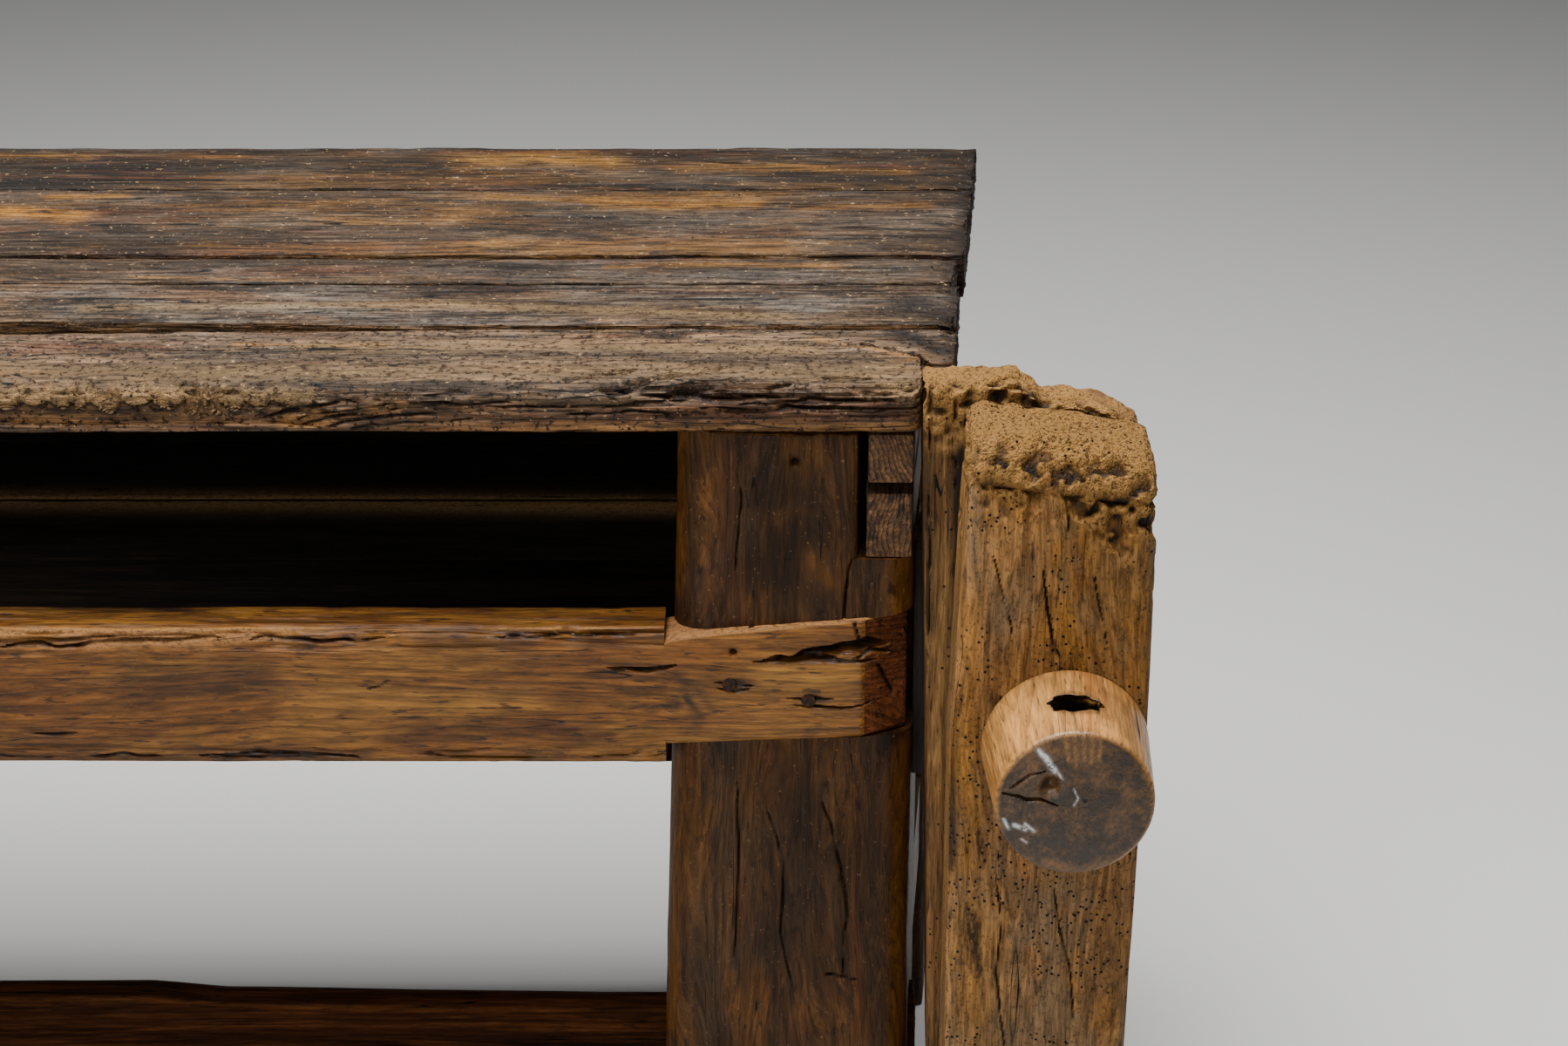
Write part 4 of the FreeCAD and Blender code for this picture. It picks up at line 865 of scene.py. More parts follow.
def wear_front_edge(surface, low, high):
    """Wears the front arris: a bitten lip over a hollow face at the left, and long splinters at the right.

    Between two crests the lip hangs 1.6 r (4t (1 - t))^0.7 lower, where t runs from one crest to the next
    and r is the reach, and it is scooped by 1.2 of the same. The pattern repeats to the photograph's left.
    """
    points = surface.points
    x, y, z = np.moveaxis(points, -1, 0)
    ahead = facing(surface, "y", -1)
    arris = np.exp(-surface.near / (8 * MM)) * ramp(high[2] - 30 * MM, high[2] - 14 * MM, z)
    arris = arris * ramp(low[1] + 40 * MM, low[1] + 16 * MM, y)
    columns, reaches = np.transpose(SCALLOPS)
    crests = np.array([seen(column, 455, y=low[1])[0] for column in columns])
    wandering = x + 6 * MM * noise(points, 15 * MM, 24)
    wandering = np.where(wandering < crests[0],
                         crests[0] + (wandering - crests[0]) % (crests[-3] - crests[0]), wandering)
    number = np.clip(np.searchsorted(crests, wandering) - 1, 0, len(crests) - 2)
    share = np.clip((wandering - crests[number]) / (crests[number + 1] - crests[number]), 0, 1)
    arc = reaches[number] * MM * (4 * share * (1 - share)) ** 0.7
    bitten = ramp(crests[-1], crests[-3], wandering)
    lip = high[2] - 11 * MM - 1.6 * arc
    right_part = ramp(seen(600, 460, y=low[1])[0], seen(760, 460, y=low[1])[0], x)
    lumps = np.abs(noise(points, np.array((13, 8, 8)) * MM, 21)) + 0.5 * np.abs(noise(points, 5 * MM, 22))
    scoop = 1.2 * arc * ramp(low[1] + 22 * MM, low[1] + 4 * MM, y)
    under = ramp(lip + 1 * MM, lip - 1.5 * MM, z) * ahead * bitten
    press(surface, arris * lumps * (3 * MM + 2 * MM * right_part) + bitten * np.where(z > lip, scoop, 0)
          + 7 * MM * under)
    # The lip's rounded upper face and the lower strip of the front face at the right get a painted highlight:
    # less grime, more honey, and on the lip some dust
    lit = bitten * ramp(lip - 0.5 * MM, lip + 1 * MM, z) * ramp(low[1] + 14 * MM, low[1] + 5 * MM, y)
    lit_strip = right_part * ahead * ramp(high[2] - 26 * MM, high[2] - 31 * MM, z)
    surface.grime = surface.grime * (1 - np.maximum(0.8 * lit, 0.7 * lit_strip))
    # Just under the lip the grime is a painted shadow on the hollow face
    stain(surface, grime=0.8 * under * ramp(lip - 7 * MM, lip - 1 * MM, z), dust=0.4 * lit,
          honey=np.maximum(0.55 * under, 0.5 * np.maximum(lit, lit_strip)))
    face = ahead * ramp(high[2] - 26 * MM, high[2] - 18 * MM, z)
    splinter(surface, face * (0.15 + 0.85 * right_part), 6 * MM, 60 * MM, 5 * MM, seed=23)
    splinter(surface, facing(surface, "z", 1) * 0.6, 2.4 * MM, 45 * MM, 5 * MM, seed=27)
    draw_wear(surface, EDGE_CRACKS, EDGE_STROKES, y=low[1])


LEG_CRACKS = (
    (0.5, 3, (842, 531), (850, 560), (849, 592), (842, 660)),
    (0.8, 4, (976, 645), (970, 680), (968, 712)),
    (0.6, 3, (795, 500), (798, 560), (792, 640)),
    (1.4, 4, (945, 1117), (970, 1121), (992, 1126)),
    (1.2, 3, (845, 900), (848, 1000), (842, 1100)),
    (1.2, 3, (935, 900), (958, 960), (972, 1040), (966, 1120)),
    (1.0, 2.4, (880, 930), (900, 990), (896, 1070), (912, 1150)),
)
LEG_STROKES = (
    ("honey", 5, 0.5, (806, 560), (812, 600), (806, 650)),
    ("honey", 7, 0.6, (775, 510), (776, 600), (772, 690)),
    ("honey", 8, 0.5, (930, 640), (950, 670)),
    ("honey", 6, 0.4, (895, 600), (905, 580), (930, 590)),
    ("grime", 26, 0.7, (890, 560), (930, 590), (900, 620)),
    ("grime", 20, 0.5, (880, 660), (940, 690)),
    ("honey", 6, 0.6, (777, 880), (772, 1000), (768, 1195)),
    ("grime", 14, 0.3, (1012, 860), (1018, 1000), (1012, 1195)),
    ("grime", 9, 0.7, (1022, 846), (1040, 836)),
    ("honey", 7, 0.4, (840, 1120), (850, 1180)),
    ("grime", 24, 0.6, (900, 900), (930, 980), (890, 1080)),
)
FACE_SETBACK = 8 * MM
FACE_BOW = 130 * MM


def leg(node):
    """A hewn leg: wider at its foot, notched at its outer top corner, with the lap's dado across it.

    Its front face falls back to the inner side, by setback ((x1 - x)/(x1 - x0))^1.4.
    """
    low, high = corners(node)
    right_side = "right" in node
    front = "front" in node
    fine = 2.2 * MM if right_side and front else 7 * MM
    rail_low, rail_high = corners("upper_stretcher_front" if front else "upper_stretcher_rear")
    dado_low = rail_low[2] + LAP_BOTTOM_SHOULDER
    dado_high = rail_high[2] - LAP_TOP_RISE
    notch = RIGHT_RAIL[0][2]
    s = stations((0, dado_low - 40 * MM, dado_low, dado_low + HAIR, dado_high, dado_high + HAIR,
                  dado_high + 40 * MM, notch, notch + HAIR, high[2]),
                 (fine, fine, 1, 20 * MM, 1, fine, fine, 1, fine))
    drift = END_SLOPE * (high[1] - low[1]) if right_side else 0
    outer = high[0] - drift if right_side else low[0]
    inner_width = high[0] - low[0] - drift + 10 * MM - (LEG_TAPER + 4 * MM) * s / high[2]
    notched = np.where(s > notch + HAIR / 2, NOTCH_WIDTH, 0)
    if right_side:
        left, right = outer - inner_width, outer - notched
    else:
        left, right = outer + notched, outer + inner_width
    lapped = (s > dado_low + HAIR / 2) & (s < dado_high + HAIR / 2)
    recess = rail_high[1] - rail_low[1] - (low[1] - FRONT if front else REAR - high[1])
    near_side = low[1] + np.where(lapped & front, recess, 0)
    far_side = high[1] - np.where(lapped & (not front), recess, 0)
    lean = np.interp(s, (dado_low - 40 * MM, dado_low, dado_high, dado_high + 40 * MM),
                     (0, LAP_BOTTOM_RISE / LAP_LENGTH, LAP_TOP_RISE / LAP_LENGTH, 0))
    inner = outer - LAP_LENGTH - LAP_SETBACK if right_side else outer + LAP_LENGTH + LAP_SETBACK
    outer_round = np.where(s > notch, 4 * MM, 20 * MM)
    inner_round = np.full_like(s, 34 * MM)
    small = np.full_like(s, 5 * MM)
    order = {(True, True): (outer_round, small, small, inner_round),
             (True, False): (small, outer_round, inner_round, small),
             (False, True): (inner_round, small, small, outer_round),
             (False, False): (small, inner_round, outer_round, small)}[right_side, front]
    surface = timber("Z", s, left, right, near_side, far_side, np.stack(order, axis=1),
                     step=(2 * fine, 3 * fine, 2 * fine, fine * 0.7), arcs=(9, 9, 9, 14),
                     tilt=lean if right_side else -lean, anchor=inner,
                     skew=END_SLOPE if right_side else 0, end_round=2 * MM)
    weather(surface, wear=3 * MM, swell=2.0 * MM, ridge=1.0 * MM, proud=1.6 * MM,
            seed=30 + 2 * right_side + front)
    surface.honey = surface.honey * 0.6
    if front and right_side:
        points = surface.points
        bow = np.clip((left.min() + FACE_BOW - points[..., 0]) / FACE_BOW, 0, 1) ** 1.4
        front_half = ramp(low[1] + 70 * MM, low[1] + 20 * MM, points[..., 1])
        points[..., 1] += FACE_SETBACK * bow * front_half
        points[..., 1] += 1.2 * MM * noise(points, np.array((45, 45, 60)) * MM, 33) * front_half
        draw_wear(surface, LEG_CRACKS, LEG_STROKES, y=low[1])
        dent(surface, seen(912, 531, y=low[1]), 3.4 * MM, 7 * MM, "y", "grime", 1.0)
        corner = np.array([(right[0] - 6 * MM, low[1] + 6 * MM, height) for height in (0, notch)])
        brush(surface, "honey", corner, 12 * MM, 0.5, "y")
    return surface


# The lap's two nails
NAIL_PIXELS = ((846, 787), (936, 804))
END_BEVEL = 18 * MM
STRETCHER_CRACKS = (
    (6.0, 16, (878, 759), (920, 752), (955, 748), (995, 740), (1022, 744)),
    (1.6, 5, (865, 760), (930, 757), (1032, 760)),
    (1.6, 5, (978, 757), (1000, 750), (1030, 757)),
    (2.2, 7, (700, 767), (745, 768), (775, 764)),
    (2.4, 7, (-10, 742), (60, 744), (120, 742), (200, 738), (260, 733)),
    (2.2, 6, (285, 736), (300, 733), (330, 735), (380, 738), (450, 734)),
    (1.6, 5, (40, 737), (100, 735), (160, 731)),
    (1.4, 5, (560, 733), (640, 730), (745, 728)),
    (1.6, 5, (1005, 762), (1018, 790), (1034, 826)),
    (1.0, 4, (925, 811), (965, 813), (1000, 808)),
    (1.2, 4, (818, 784), (836, 785), (866, 788)),
    (1.2, 4, (904, 802), (927, 803), (956, 802)),
    (1.0, 3, (824, 790), (846, 794), (860, 791)),
    (1.0, 3, (912, 809), (936, 812), (962, 812)),
    (1.2, 3, (15, 842), (60, 843), (90, 841)),
    (1.6, 4, (95, 870), (140, 866), (185, 868)),
    (1.6, 4, (230, 868), (300, 864), (370, 866), (420, 868)),
    (1.0, 3, (420, 792), (436, 785), (445, 780)),
    (1.0, 3, (975, 700), (986, 735), (1000, 740)),
)
STRETCHER_STROKES = (
    ("grime", 4, 0.6, (838, 786), (854, 787)),
    ("grime", 4, 0.6, (928, 803), (944, 804)),
    ("grime", 14, 0.4, (150, 770), (230, 776), (300, 772)),
    ("grime", 6, 0.5, (0, 872), (200, 872), (420, 870)),
    ("grime", 5, 0.4, (785, 790), (800, 830)),
    ("grime", 4, 0.5, (776, 775), (800, 790), (818, 815)),
    ("grime", 3, 0.5, (786, 800), (806, 822)),
    ("grime", 12, 0.4, (500, 735), (540, 737), (600, 733)),
    ("honey", 16, 0.8, (885, 775), (930, 778), (970, 772)),
    ("honey", 20, 0.5, (800, 810), (880, 825), (970, 825)),
    ("grime", 45, 0.12, (0, 800), (350, 800), (690, 800)),
    ("honey", 14, 0.5, (330, 800), (470, 806), (600, 800)),
    ("dust", 5, 0.45, (0, 728), (150, 730), (290, 724)),
    ("dust", 4, 0.35, (100, 742), (250, 738), (330, 730)),
    ("dust", 3, 0.4, (560, 724), (700, 720), (752, 716)),
    ("honey", 8, 0.6, (0, 722), (380, 722), (750, 716)),
)
# Column and line, radius and depth in mm
STRETCHER_BITES = ((40, 738, 12, 4), (150, 742, 16, 5), (235, 738, 12, 4), (320, 736, 12, 3),
                   (440, 731, 12, 3), (560, 728, 10, 2), (650, 728, 12, 2), (760, 870, 7, 6))


def upper_stretcher(node):
    """A rail lapped over both legs, split at its right end and flaked along its upper arris.

    On a lap, at a share t from its shoulder, the bottom rises by t and the top by t^0.8 of their rises. The
    hewn end falls back in a straight bevel.
    """
    low, high = corners(node)
    front = "front" in node
    body_top = high[2] - LAP_TOP_RISE + LAP_TOP_SHOULDER
    left_shoulder = low[0] + LAP_LENGTH
    right_shoulder = high[0] - LAP_LENGTH
    s = stations((low[0], left_shoulder, left_shoulder + HAIR, TOP_DRAWN_FROM, right_shoulder - HAIR,
                  right_shoulder, high[0]), (6 * MM, 1, 14 * MM, 2.4 * MM, 1, 1.6 * MM))
    lapped = (s < left_shoulder + HAIR / 2) | (s > right_shoulder - HAIR / 2)
    out = np.maximum(left_shoulder - s, s - right_shoulder).clip(0) / LAP_LENGTH
    bottom = low[2] + np.where(lapped, LAP_BOTTOM_SHOULDER + LAP_BOTTOM_RISE * out, 0)
    top = body_top + np.where(lapped, LAP_TOP_RISE * out ** 0.8 - LAP_TOP_SHOULDER, 0)
    worn = np.where(lapped, 3 * MM, 9 * MM)
    small = np.full_like(s, 4 * MM)
    rounds = np.stack((small, small, worn, small) if front else (small, worn, small, small), axis=1)
    face = 1.3 * MM if front else 5 * MM
    surface = timber("X", s, low[1], high[1], bottom, top, rounds, step=(6 * MM, 2.4 * MM, face, 6 * MM),
                     arcs=(3, 8, 8, 3), end_round=2 * MM)
    weather(surface, wear=2.5 * MM, swell=1.6 * MM, ridge=0.8 * MM, proud=1.6 * MM, seed=50 + front)
    surface.honey = surface.honey * 0.4
    if front:
        points = surface.points
        bevel_start = seen(988, 780, y=low[1])[0]
        bevel = (points[..., 0] - bevel_start) / (high[0] - bevel_start)
        depth = (high[1] - points[..., 1]) / (high[1] - low[1])
        points[..., 1] += END_BEVEL * bevel.clip(0, 1) * depth.clip(0, 1)
        stain(surface, dust=0.45 * facing(surface, "z", 1) * (points[..., 0] > right_shoulder))
        upper = ramp(body_top - 26 * MM, body_top - 4 * MM, points[..., 2]) * np.clip(
            facing(surface, "y", -1) + 0.3 * facing(surface, "z", 1), 0, 1)
        splinter(surface, upper * (points[..., 0] < right_shoulder), 5 * MM, 110 * MM, 6 * MM, seed=53)
        lower = ramp(body_top - 92 * MM, body_top - 104 * MM, points[..., 2]) * facing(surface, "y", -1)
        splinter(surface, lower * (points[..., 0] < right_shoulder), 4 * MM, 40 * MM, 5 * MM, seed=57)
        for column, line, radius, depth in STRETCHER_BITES:
            dent(surface, seen(column, line, y=low[1]), radius * MM, depth * MM, "y", "honey", 0.5)
        dent(surface, seen(841, 749, y=low[1]), 2.6 * MM, 6 * MM, "y", "grime", 1.0)
        for column, line in NAIL_PIXELS:
            dent(surface, seen(column, line, y=low[1]), 4.6 * MM, 3 * MM, "y", "grime", 0.4)
        draw_wear(surface, STRETCHER_CRACKS, STRETCHER_STROKES, y=low[1])
    return surface


TOP_WEAR = 21 * MM


def lower_stretcher(node):
    """A rail between two legs, tenoned through each, whose worn top follows the photograph's line."""
    low, high = corners(node)
    front = "front" in node
    legs = [corners(f"leg_{'front' if front else 'rear'}_{side}") for side in ("left", "right")]
    left_shoulder = legs[0][1][0] - LEG_TAPER * low[2] / legs[0][1][2] - 4 * MM
    right_shoulder = legs[1][0][0] + LEG_TAPER * low[2] / legs[1][1][2] + 6 * MM
    s = stations((low[0], left_shoulder, left_shoulder + HAIR, LOW_RAIL_DRAWN_FROM, right_shoulder - HAIR,
                  right_shoulder, high[0]), (20 * MM, 1, 12 * MM, 4 * MM, 1, 20 * MM))
    inside = (s > left_shoulder + HAIR / 2) & (s < right_shoulder - HAIR / 2)
    trim = np.where(inside, 0, 12 * MM)
    line = np.array(trail(((0, 1128), (165, 1127), (250, 1134), (500, 1138), (760, 1141)), y=low[1]))
    hump = np.interp(s, line[:, 0], line[:, 2] - line[-1, 2]) - TOP_WEAR if front else 0
    small = np.full_like(s, 5 * MM)
    worn = np.where(inside, 30 * MM, 5 * MM)
    rounds = np.stack((small, worn, small, small) if front else (small, small, worn, small), axis=1)
    surface = timber("X", s, low[1] + trim, high[1] - trim, low[2] + trim, high[2] - trim + hump * inside,
                     rounds, step=(6 * MM, 3.5 * MM, 2.4 * MM, 6 * MM), end_round=2 * MM, arcs=(4, 9, 5, 4))
    weather(surface, wear=4 * MM, swell=2 * MM, ridge=1.2 * MM, proud=1 * MM, seed=60 + front)
    surface.honey = surface.honey * 0.4
    return surface


def cross_bar(node):
    """A bar from front to rear at one end, which follows that end's slope: x = x0 + slope (y - y0)."""
    low, high = corners(node)
    slope = END_SLOPE if "right" in node else 0
    width = high[0] - low[0] - slope * (high[1] - low[1])
    s = stations((low[1], high[1]), (8 * MM,))
    shift = slope * (s - low[1])
    surface = timber("Y", s, low[2], high[2], low[0] + shift, low[0] + width + shift, 3 * MM, step=3 * MM,
                     end_round=1.5 * MM, rings=10)
    weather(surface, wear=1.6 * MM, swell=1.2 * MM, ridge=0.7 * MM, seed=70 + len(node))
    return surface


SHELF_ROOM = 22 * MM


def shelf_board(node):
    """A board of the tool shelf, run on past its box to the legs, with a painted band of light along its
    front.
    """
    low, high = corners(node)
    s = stations((low[0] - SHELF_ROOM, high[0] + SHELF_ROOM + 3 * MM), (14 * MM,))
    surface = timber("X", s, low[1], high[1], low[2], high[2], 2 * MM, step=6 * MM, end_round=1.5 * MM)
    weather(surface, wear=1.5 * MM, swell=1.5 * MM, ridge=0.8 * MM, seed=80 + int(node[-1]))
    surface.honey = surface.honey * 0
    # A painted band of light on the shelf, drawn with the dust mark
    brush(surface, "dust", trail(((-60, 570), (400, 572), (777, 578)), z=high[2]), 22 * MM, 0.28, "z")
    return surface


# The broken outline of the fixed jaw's top
POST_TOP_PIXELS = ((1059, 417), (1097, 414), (1139, 419), (1166, 425), (1172, 434), (1185, 438), (1193, 450),
                   (1231, 451), (1266, 457), (1296, 475))
POST_STROKES = (
    ("grime", 10, 0.5, (1066, 560), (1068, 640), (1064, 720)),
    ("honey", 10, 0.6, (1082, 620), (1084, 760), (1082, 900)),
    # A painted shadow line on the post beside the chop's left edge
    ("grime", 5, 1.0, (1102, 470), (1098, 700), (1089, 900), (1085, 1150)),
)
POST_CRACKS = (
    (1.6, 5, (1071, 445), (1069, 480), (1066, 520)),
    (1.4, 4, (1098, 450), (1094, 500), (1096, 560)),
    (1.2, 4, (1064, 560), (1066, 640), (1063, 760)),
)


def vise_post():
    """The fixed jaw: a plank on end, which narrows to its foot, its top crumbled down to the outline seen."""
    s = stations((0, POST_HIGH[2] - 130 * MM, POST_HIGH[2]), (4 * MM, 2 * MM))
    share = 1 - s / POST_HIGH[2]
    left = POST_LOW[0] + POST_LEFT_TAPER * share - 1 * MM
    right = POST_HIGH[0] - POST_RIGHT_TAPER * share
    line = np.array(trail(POST_TOP_PIXELS, y=(POST_LOW[1] + POST_HIGH[1]) / 2))
    surface = timber("Z", s, left, right, POST_LOW[1], POST_HIGH[1], (6 * MM, 6 * MM, 5 * MM, 5 * MM),
                     step=(4 * MM, 4 * MM, 3 * MM, 2 * MM), reach=110 * MM, rings=16, end_round=6 * MM,
                     stop=lambda a, b: np.minimum(np.interp(a, line[:, 0], line[:, 2]) - POST_HIGH[2], 0))
    weather(surface, wear=3 * MM, swell=2 * MM, ridge=1.2 * MM, proud=1 * MM, seed=91)
    surface.honey = surface.honey * 0.4
    draw_wear(surface, POST_CRACKS, POST_STROKES, y=POST_LOW[1])
    crumble(surface, POST_HIGH[2] - 50 * MM, POST_HIGH[2] - 12 * MM)
    return surface


CRUMB_DEPTH = 3.6 * MM


def crumble(surface, from_height, full_height, tilt=0.0):
    """Soft, sandy end grain: pits of two sizes and dust, which grow with height from a ragged lower limit.

    The limit leans by tilt along x, and the flat top, away from the front, keeps its sand without pits.
    """
    points = surface.points
    ragged = points[..., 2] + 16 * MM * noise(points, np.array((14, 30, 16)) * MM, 4)
    ragged = ragged + 14 * MM * noise(points, np.array((45, 60, 40)) * MM, 8)
    ragged = ragged + tilt * (points[..., 0] - CHOP_LOW[0])
    share = ramp(from_height, full_height, ragged)
    pits = 1.8 * noise(points, 10 * MM, 5) + 1.3 * noise(points, 5 * MM, 6)
    front = points[..., 1].min()
    flat = ramp(0.75, 1, facing(surface, "z", 1)) * ramp(front + 8 * MM, front + 28 * MM, points[..., 1])
    hollow = share * (0.6 + pits).clip(0, 1.5) * (1 - 0.6 * flat)
    press(surface, CRUMB_DEPTH * hollow)
    surface.grime = surface.grime * (1 - share)
    surface.honey = surface.honey * (1 - share)
    # The grime in the pits, away from the flat top, is a painted shade in the hollows
    stain(surface, dust=share * (0.7 + 0.3 * flat - (0.9 - 0.8 * flat) * pits).clip(0, 1),
          grime=share * ramp(0.1, 0.6, pits) * (1 - flat), honey=0.6 * ramp(0.05, 0.4, share) * (1 - flat))


CHOP_CORNER = 13 * MM
CHOP_CROWN = 36 * MM
CHOP_FALL = 20 * MM
CHOP_CRACKS = (
    (0.7, 6, (1222, 540), (1222, 567), (1227, 600), (1224, 625)),
    (0.6, 5, (1197, 655), (1202, 700), (1208, 735), (1220, 763)),
    (0.3, 3, (1140, 640), (1147, 670), (1157, 705), (1163, 737)),
    (0.35, 4, (1256, 663), (1262, 700), (1270, 740)),
    (0.5, 6, (1148, 800), (1146, 860), (1150, 930), (1146, 985)),
    (0.5, 5, (1142, 1000), (1150, 1060), (1143, 1120), (1152, 1199)),
    (0.6, 4, (1208, 1010), (1214, 1060), (1228, 1110), (1232, 1190)),
)
CHOP_STROKES = (
    ("honey", 12, 0.5, (1114, 700), (1112, 850), (1114, 1000), (1118, 1199)),
    ("honey", 26, 0.5, (1262, 585), (1290, 620), (1290, 700)),
    ("honey", 12, 0.5, (1160, 560), (1180, 590)),
    ("honey", 10, 0.4, (1240, 740), (1280, 770)),
    ("grime", 10, 0.3, (1185, 640), (1200, 700), (1190, 760)),
    ("grime", 9, 0.3, (1230, 600), (1236, 680)),
    ("grime", 14, 0.25, (1290, 1000), (1270, 1080), (1280, 1160)),
    ("grime", 9, 0.3, (1150, 760), (1130, 830), (1140, 900)),
    # A painted shadow line along the chop's left edge beside the post
    ("grime", 5, 0.7, (1094, 640), (1092, 760), (1090, 1000)),
)


def vise_chop():
    """The moving jaw: a thick plank with a rounded, sandy crown that falls to the right."""
    s = stations((CHOP_LOW[2], CHOP_HIGH[2] - 260 * MM, CHOP_HIGH[2]), (2.4 * MM, 1.8 * MM))
    right = CHOP_HIGH[0] - np.interp(s, (CHOP_LOW[2], CHOP_SWELL_HEIGHT), (CHOP_FOOT_TAPER, 0))
    left = CHOP_LOW[0] - 1 * MM + np.interp(s, (CHOP_TAPER_FROM, CHOP_HIGH[2]), (0, CHOP_HEAD_TAPER))

    def crown(a, b):
        """The crown's fall, and its rounding at the left, the right and the front as r - sqrt(r² - d²)."""
        fall = CHOP_FALL * (a - CHOP_LOW[0]) / (CHOP_HIGH[0] - CHOP_LOW[0])
        sides = np.maximum(CHOP_CORNER - np.minimum(a - CHOP_LOW[0] - CHOP_HEAD_TAPER, CHOP_HIGH[0] - a), 0)
        ahead = np.maximum(CHOP_CROWN - (b - CHOP_LOW[1]), 0)
        round_sides = CHOP_CORNER - np.sqrt(np.maximum(CHOP_CORNER ** 2 - sides ** 2, 0))
        round_front = CHOP_CROWN - np.sqrt(np.maximum(CHOP_CROWN ** 2 - ahead ** 2, 0))
        return -fall - round_sides - round_front

    surface = timber("Z", s, left, right, CHOP_LOW[1], CHOP_HIGH[1], (9 * MM, 3 * MM, 3 * MM, 9 * MM),
                     step=(5 * MM, 9 * MM, 5 * MM, 1.4 * MM), stop=crown, reach=110 * MM, rings=34,
                     end_round=1.5 * MM, arcs=(6, 3, 3, 6))
    weather(surface, wear=3 * MM, swell=2.4 * MM, ridge=1.2 * MM, proud=1.2 * MM, seed=97)
    surface.honey = surface.honey * 0.3
    points = surface.points
    eaten = ramp(seen(1200, 760, y=CHOP_LOW[1])[2], seen(1200, 560, y=CHOP_LOW[1])[2], points[..., 2])
    area = ramp(0.0, 0.5, noise(points, np.array((30, 40, 45)) * MM, 62) + 0.3)
    pits = noise(points, np.array((6, 8, 9)) * MM, 61) * area
    press(surface, eaten * 3.2 * MM * pits.clip(0))
    stain(surface, grime=0.7 * eaten * ramp(0.2, 0.6, pits),
          honey=0.35 * eaten * area * ramp(0.2, -0.2, pits))
    splinter(surface, facing(surface, "y", -1) * 0.6, 2.4 * MM, 60 * MM, 5 * MM, seed=64)
    draw_wear(surface, CHOP_CRACKS, CHOP_STROKES, y=CHOP_LOW[1])
    crumble(surface, seen(1200, 592, y=CHOP_LOW[1])[2], seen(1200, 545, y=CHOP_LOW[1])[2], tilt=0.2)
    return surface


HEAD_FRONT_RADIUS = 56 * MM
HEAD_BACK_RADIUS = 60.5 * MM
HEAD_RIM = 4.5 * MM
HEAD_BULGE = 3 * MM
THREAD_RUNOUT = 6 * MM
HEAD_CRACKS = (
    (1.4, 5, (1150, 911), (1176, 916), (1192, 916), (1214, 922)),
    (0.8, 3, (1158, 905), (1180, 890), (1200, 884)),
)
HEAD_STROKES = (
    ("dust", 1.6, 1.0, (1192, 862), (1200, 870)),
    ("dust", 1.8, 1.0, (1200, 868), (1210, 884)),
    ("dust", 1.0, 0.9, (1210, 880), (1218, 892)),
    ("dust", 1.1, 0.9, (1152, 940), (1157, 950)),
    ("dust", 1.5, 1.0, (1164, 946), (1176, 950)),
    ("dust", 1.1, 0.9, (1176, 944), (1186, 952)),
    ("dust", 0.7, 0.8, (1232, 904), (1237, 914), (1232, 922)),
    ("dust", 0.7, 0.8, (1172, 962), (1178, 966)),
    ("grime", 14, 0.5, (1150, 960), (1200, 995), (1260, 998)),
    ("grime", 12, 0.5, (1240, 920), (1260, 950), (1240, 975)),
    ("grime", 1.2, 0.5, (1240, 930), (1262, 952), (1280, 985)),
    ("grime", 1.2, 0.5, (1225, 940), (1212, 965), (1196, 985)),
    ("grime", 1.6, -0.4, (1223, 846), (1226, 872)),
    ("grime", 1.4, -0.4, (1233, 844), (1235, 878)),
    ("grime", 1.6, -0.4, (1243, 844), (1244, 870)),
    ("grime", 1.4, -0.4, (1253, 848), (1252, 874)),
    ("grime", 1.4, -0.35, (1263, 852), (1261, 872)),
    ("grime", 4, -0.3, (1200, 990), (1240, 1000), (1290, 985)),
)


def screw_shank():
    """The screw's shank with a right-handed thread and a chamfered end.

    r = R - h ramp(0.12, 0.95, 1 - |2 frac(y/p + t/2pi) - 1|), and h fades at both ends of the thread.
    """
    settings = bpy.context.scene.bench
    start = POST_LOW[1] + THREAD_RUNOUT
    end = SCREW_HIGH[1]
    place = stations((CHOP_LOW[1] + 20 * MM, start, end - THREAD_RUNOUT, end),
                     (5 * MM, settings.thread_pitch / 14, 1.5 * MM))
    radius = SCREW_RADIUS - (place - end + THREAD_RUNOUT).clip(0)

    def thread(turn, y):
        """How deep the thread is cut at a turn and a place."""
        phase = y / settings.thread_pitch + turn / FULL_TURN
        groove = 1 - np.abs(2 * (phase % 1) - 1)
        inside = ramp(start, start + 8 * MM, y) * ramp(end - 2 * MM, end - 9 * MM, y)
        return -settings.thread_depth * ramp(0.12, 0.95, groove) * inside

    surface = turned(SCREW_AXIS, place, radius, 96, thread)
    close_ends(surface)
    return surface


def close_ends(surface):
    """Adds rings that shrink to the screw's axis at both ends of a turned surface."""
    shares = np.linspace(0, 1, 8)[1:-1, None, None]
    for end, way in ((0, -1), (-1, 1)):
        rim = surface.points[end]
        centre = np.array((SCREW_AXIS[0], rim[:, 1].mean(), SCREW_AXIS[2]))
        rings = centre + (rim - centre)[None] * shares[::-way]
        face = np.zeros_like(rings)
        face[..., 1] = way
        added = {name: np.repeat(getattr(surface, name)[end][None], len(rings), axis=0)
                 for name in ("near", *MARKS)}
        for name, values in {"points": rings, "normals": face, **added}.items():
            parts = (values, getattr(surface, name))
            setattr(surface, name, np.concatenate(parts[::-way]))


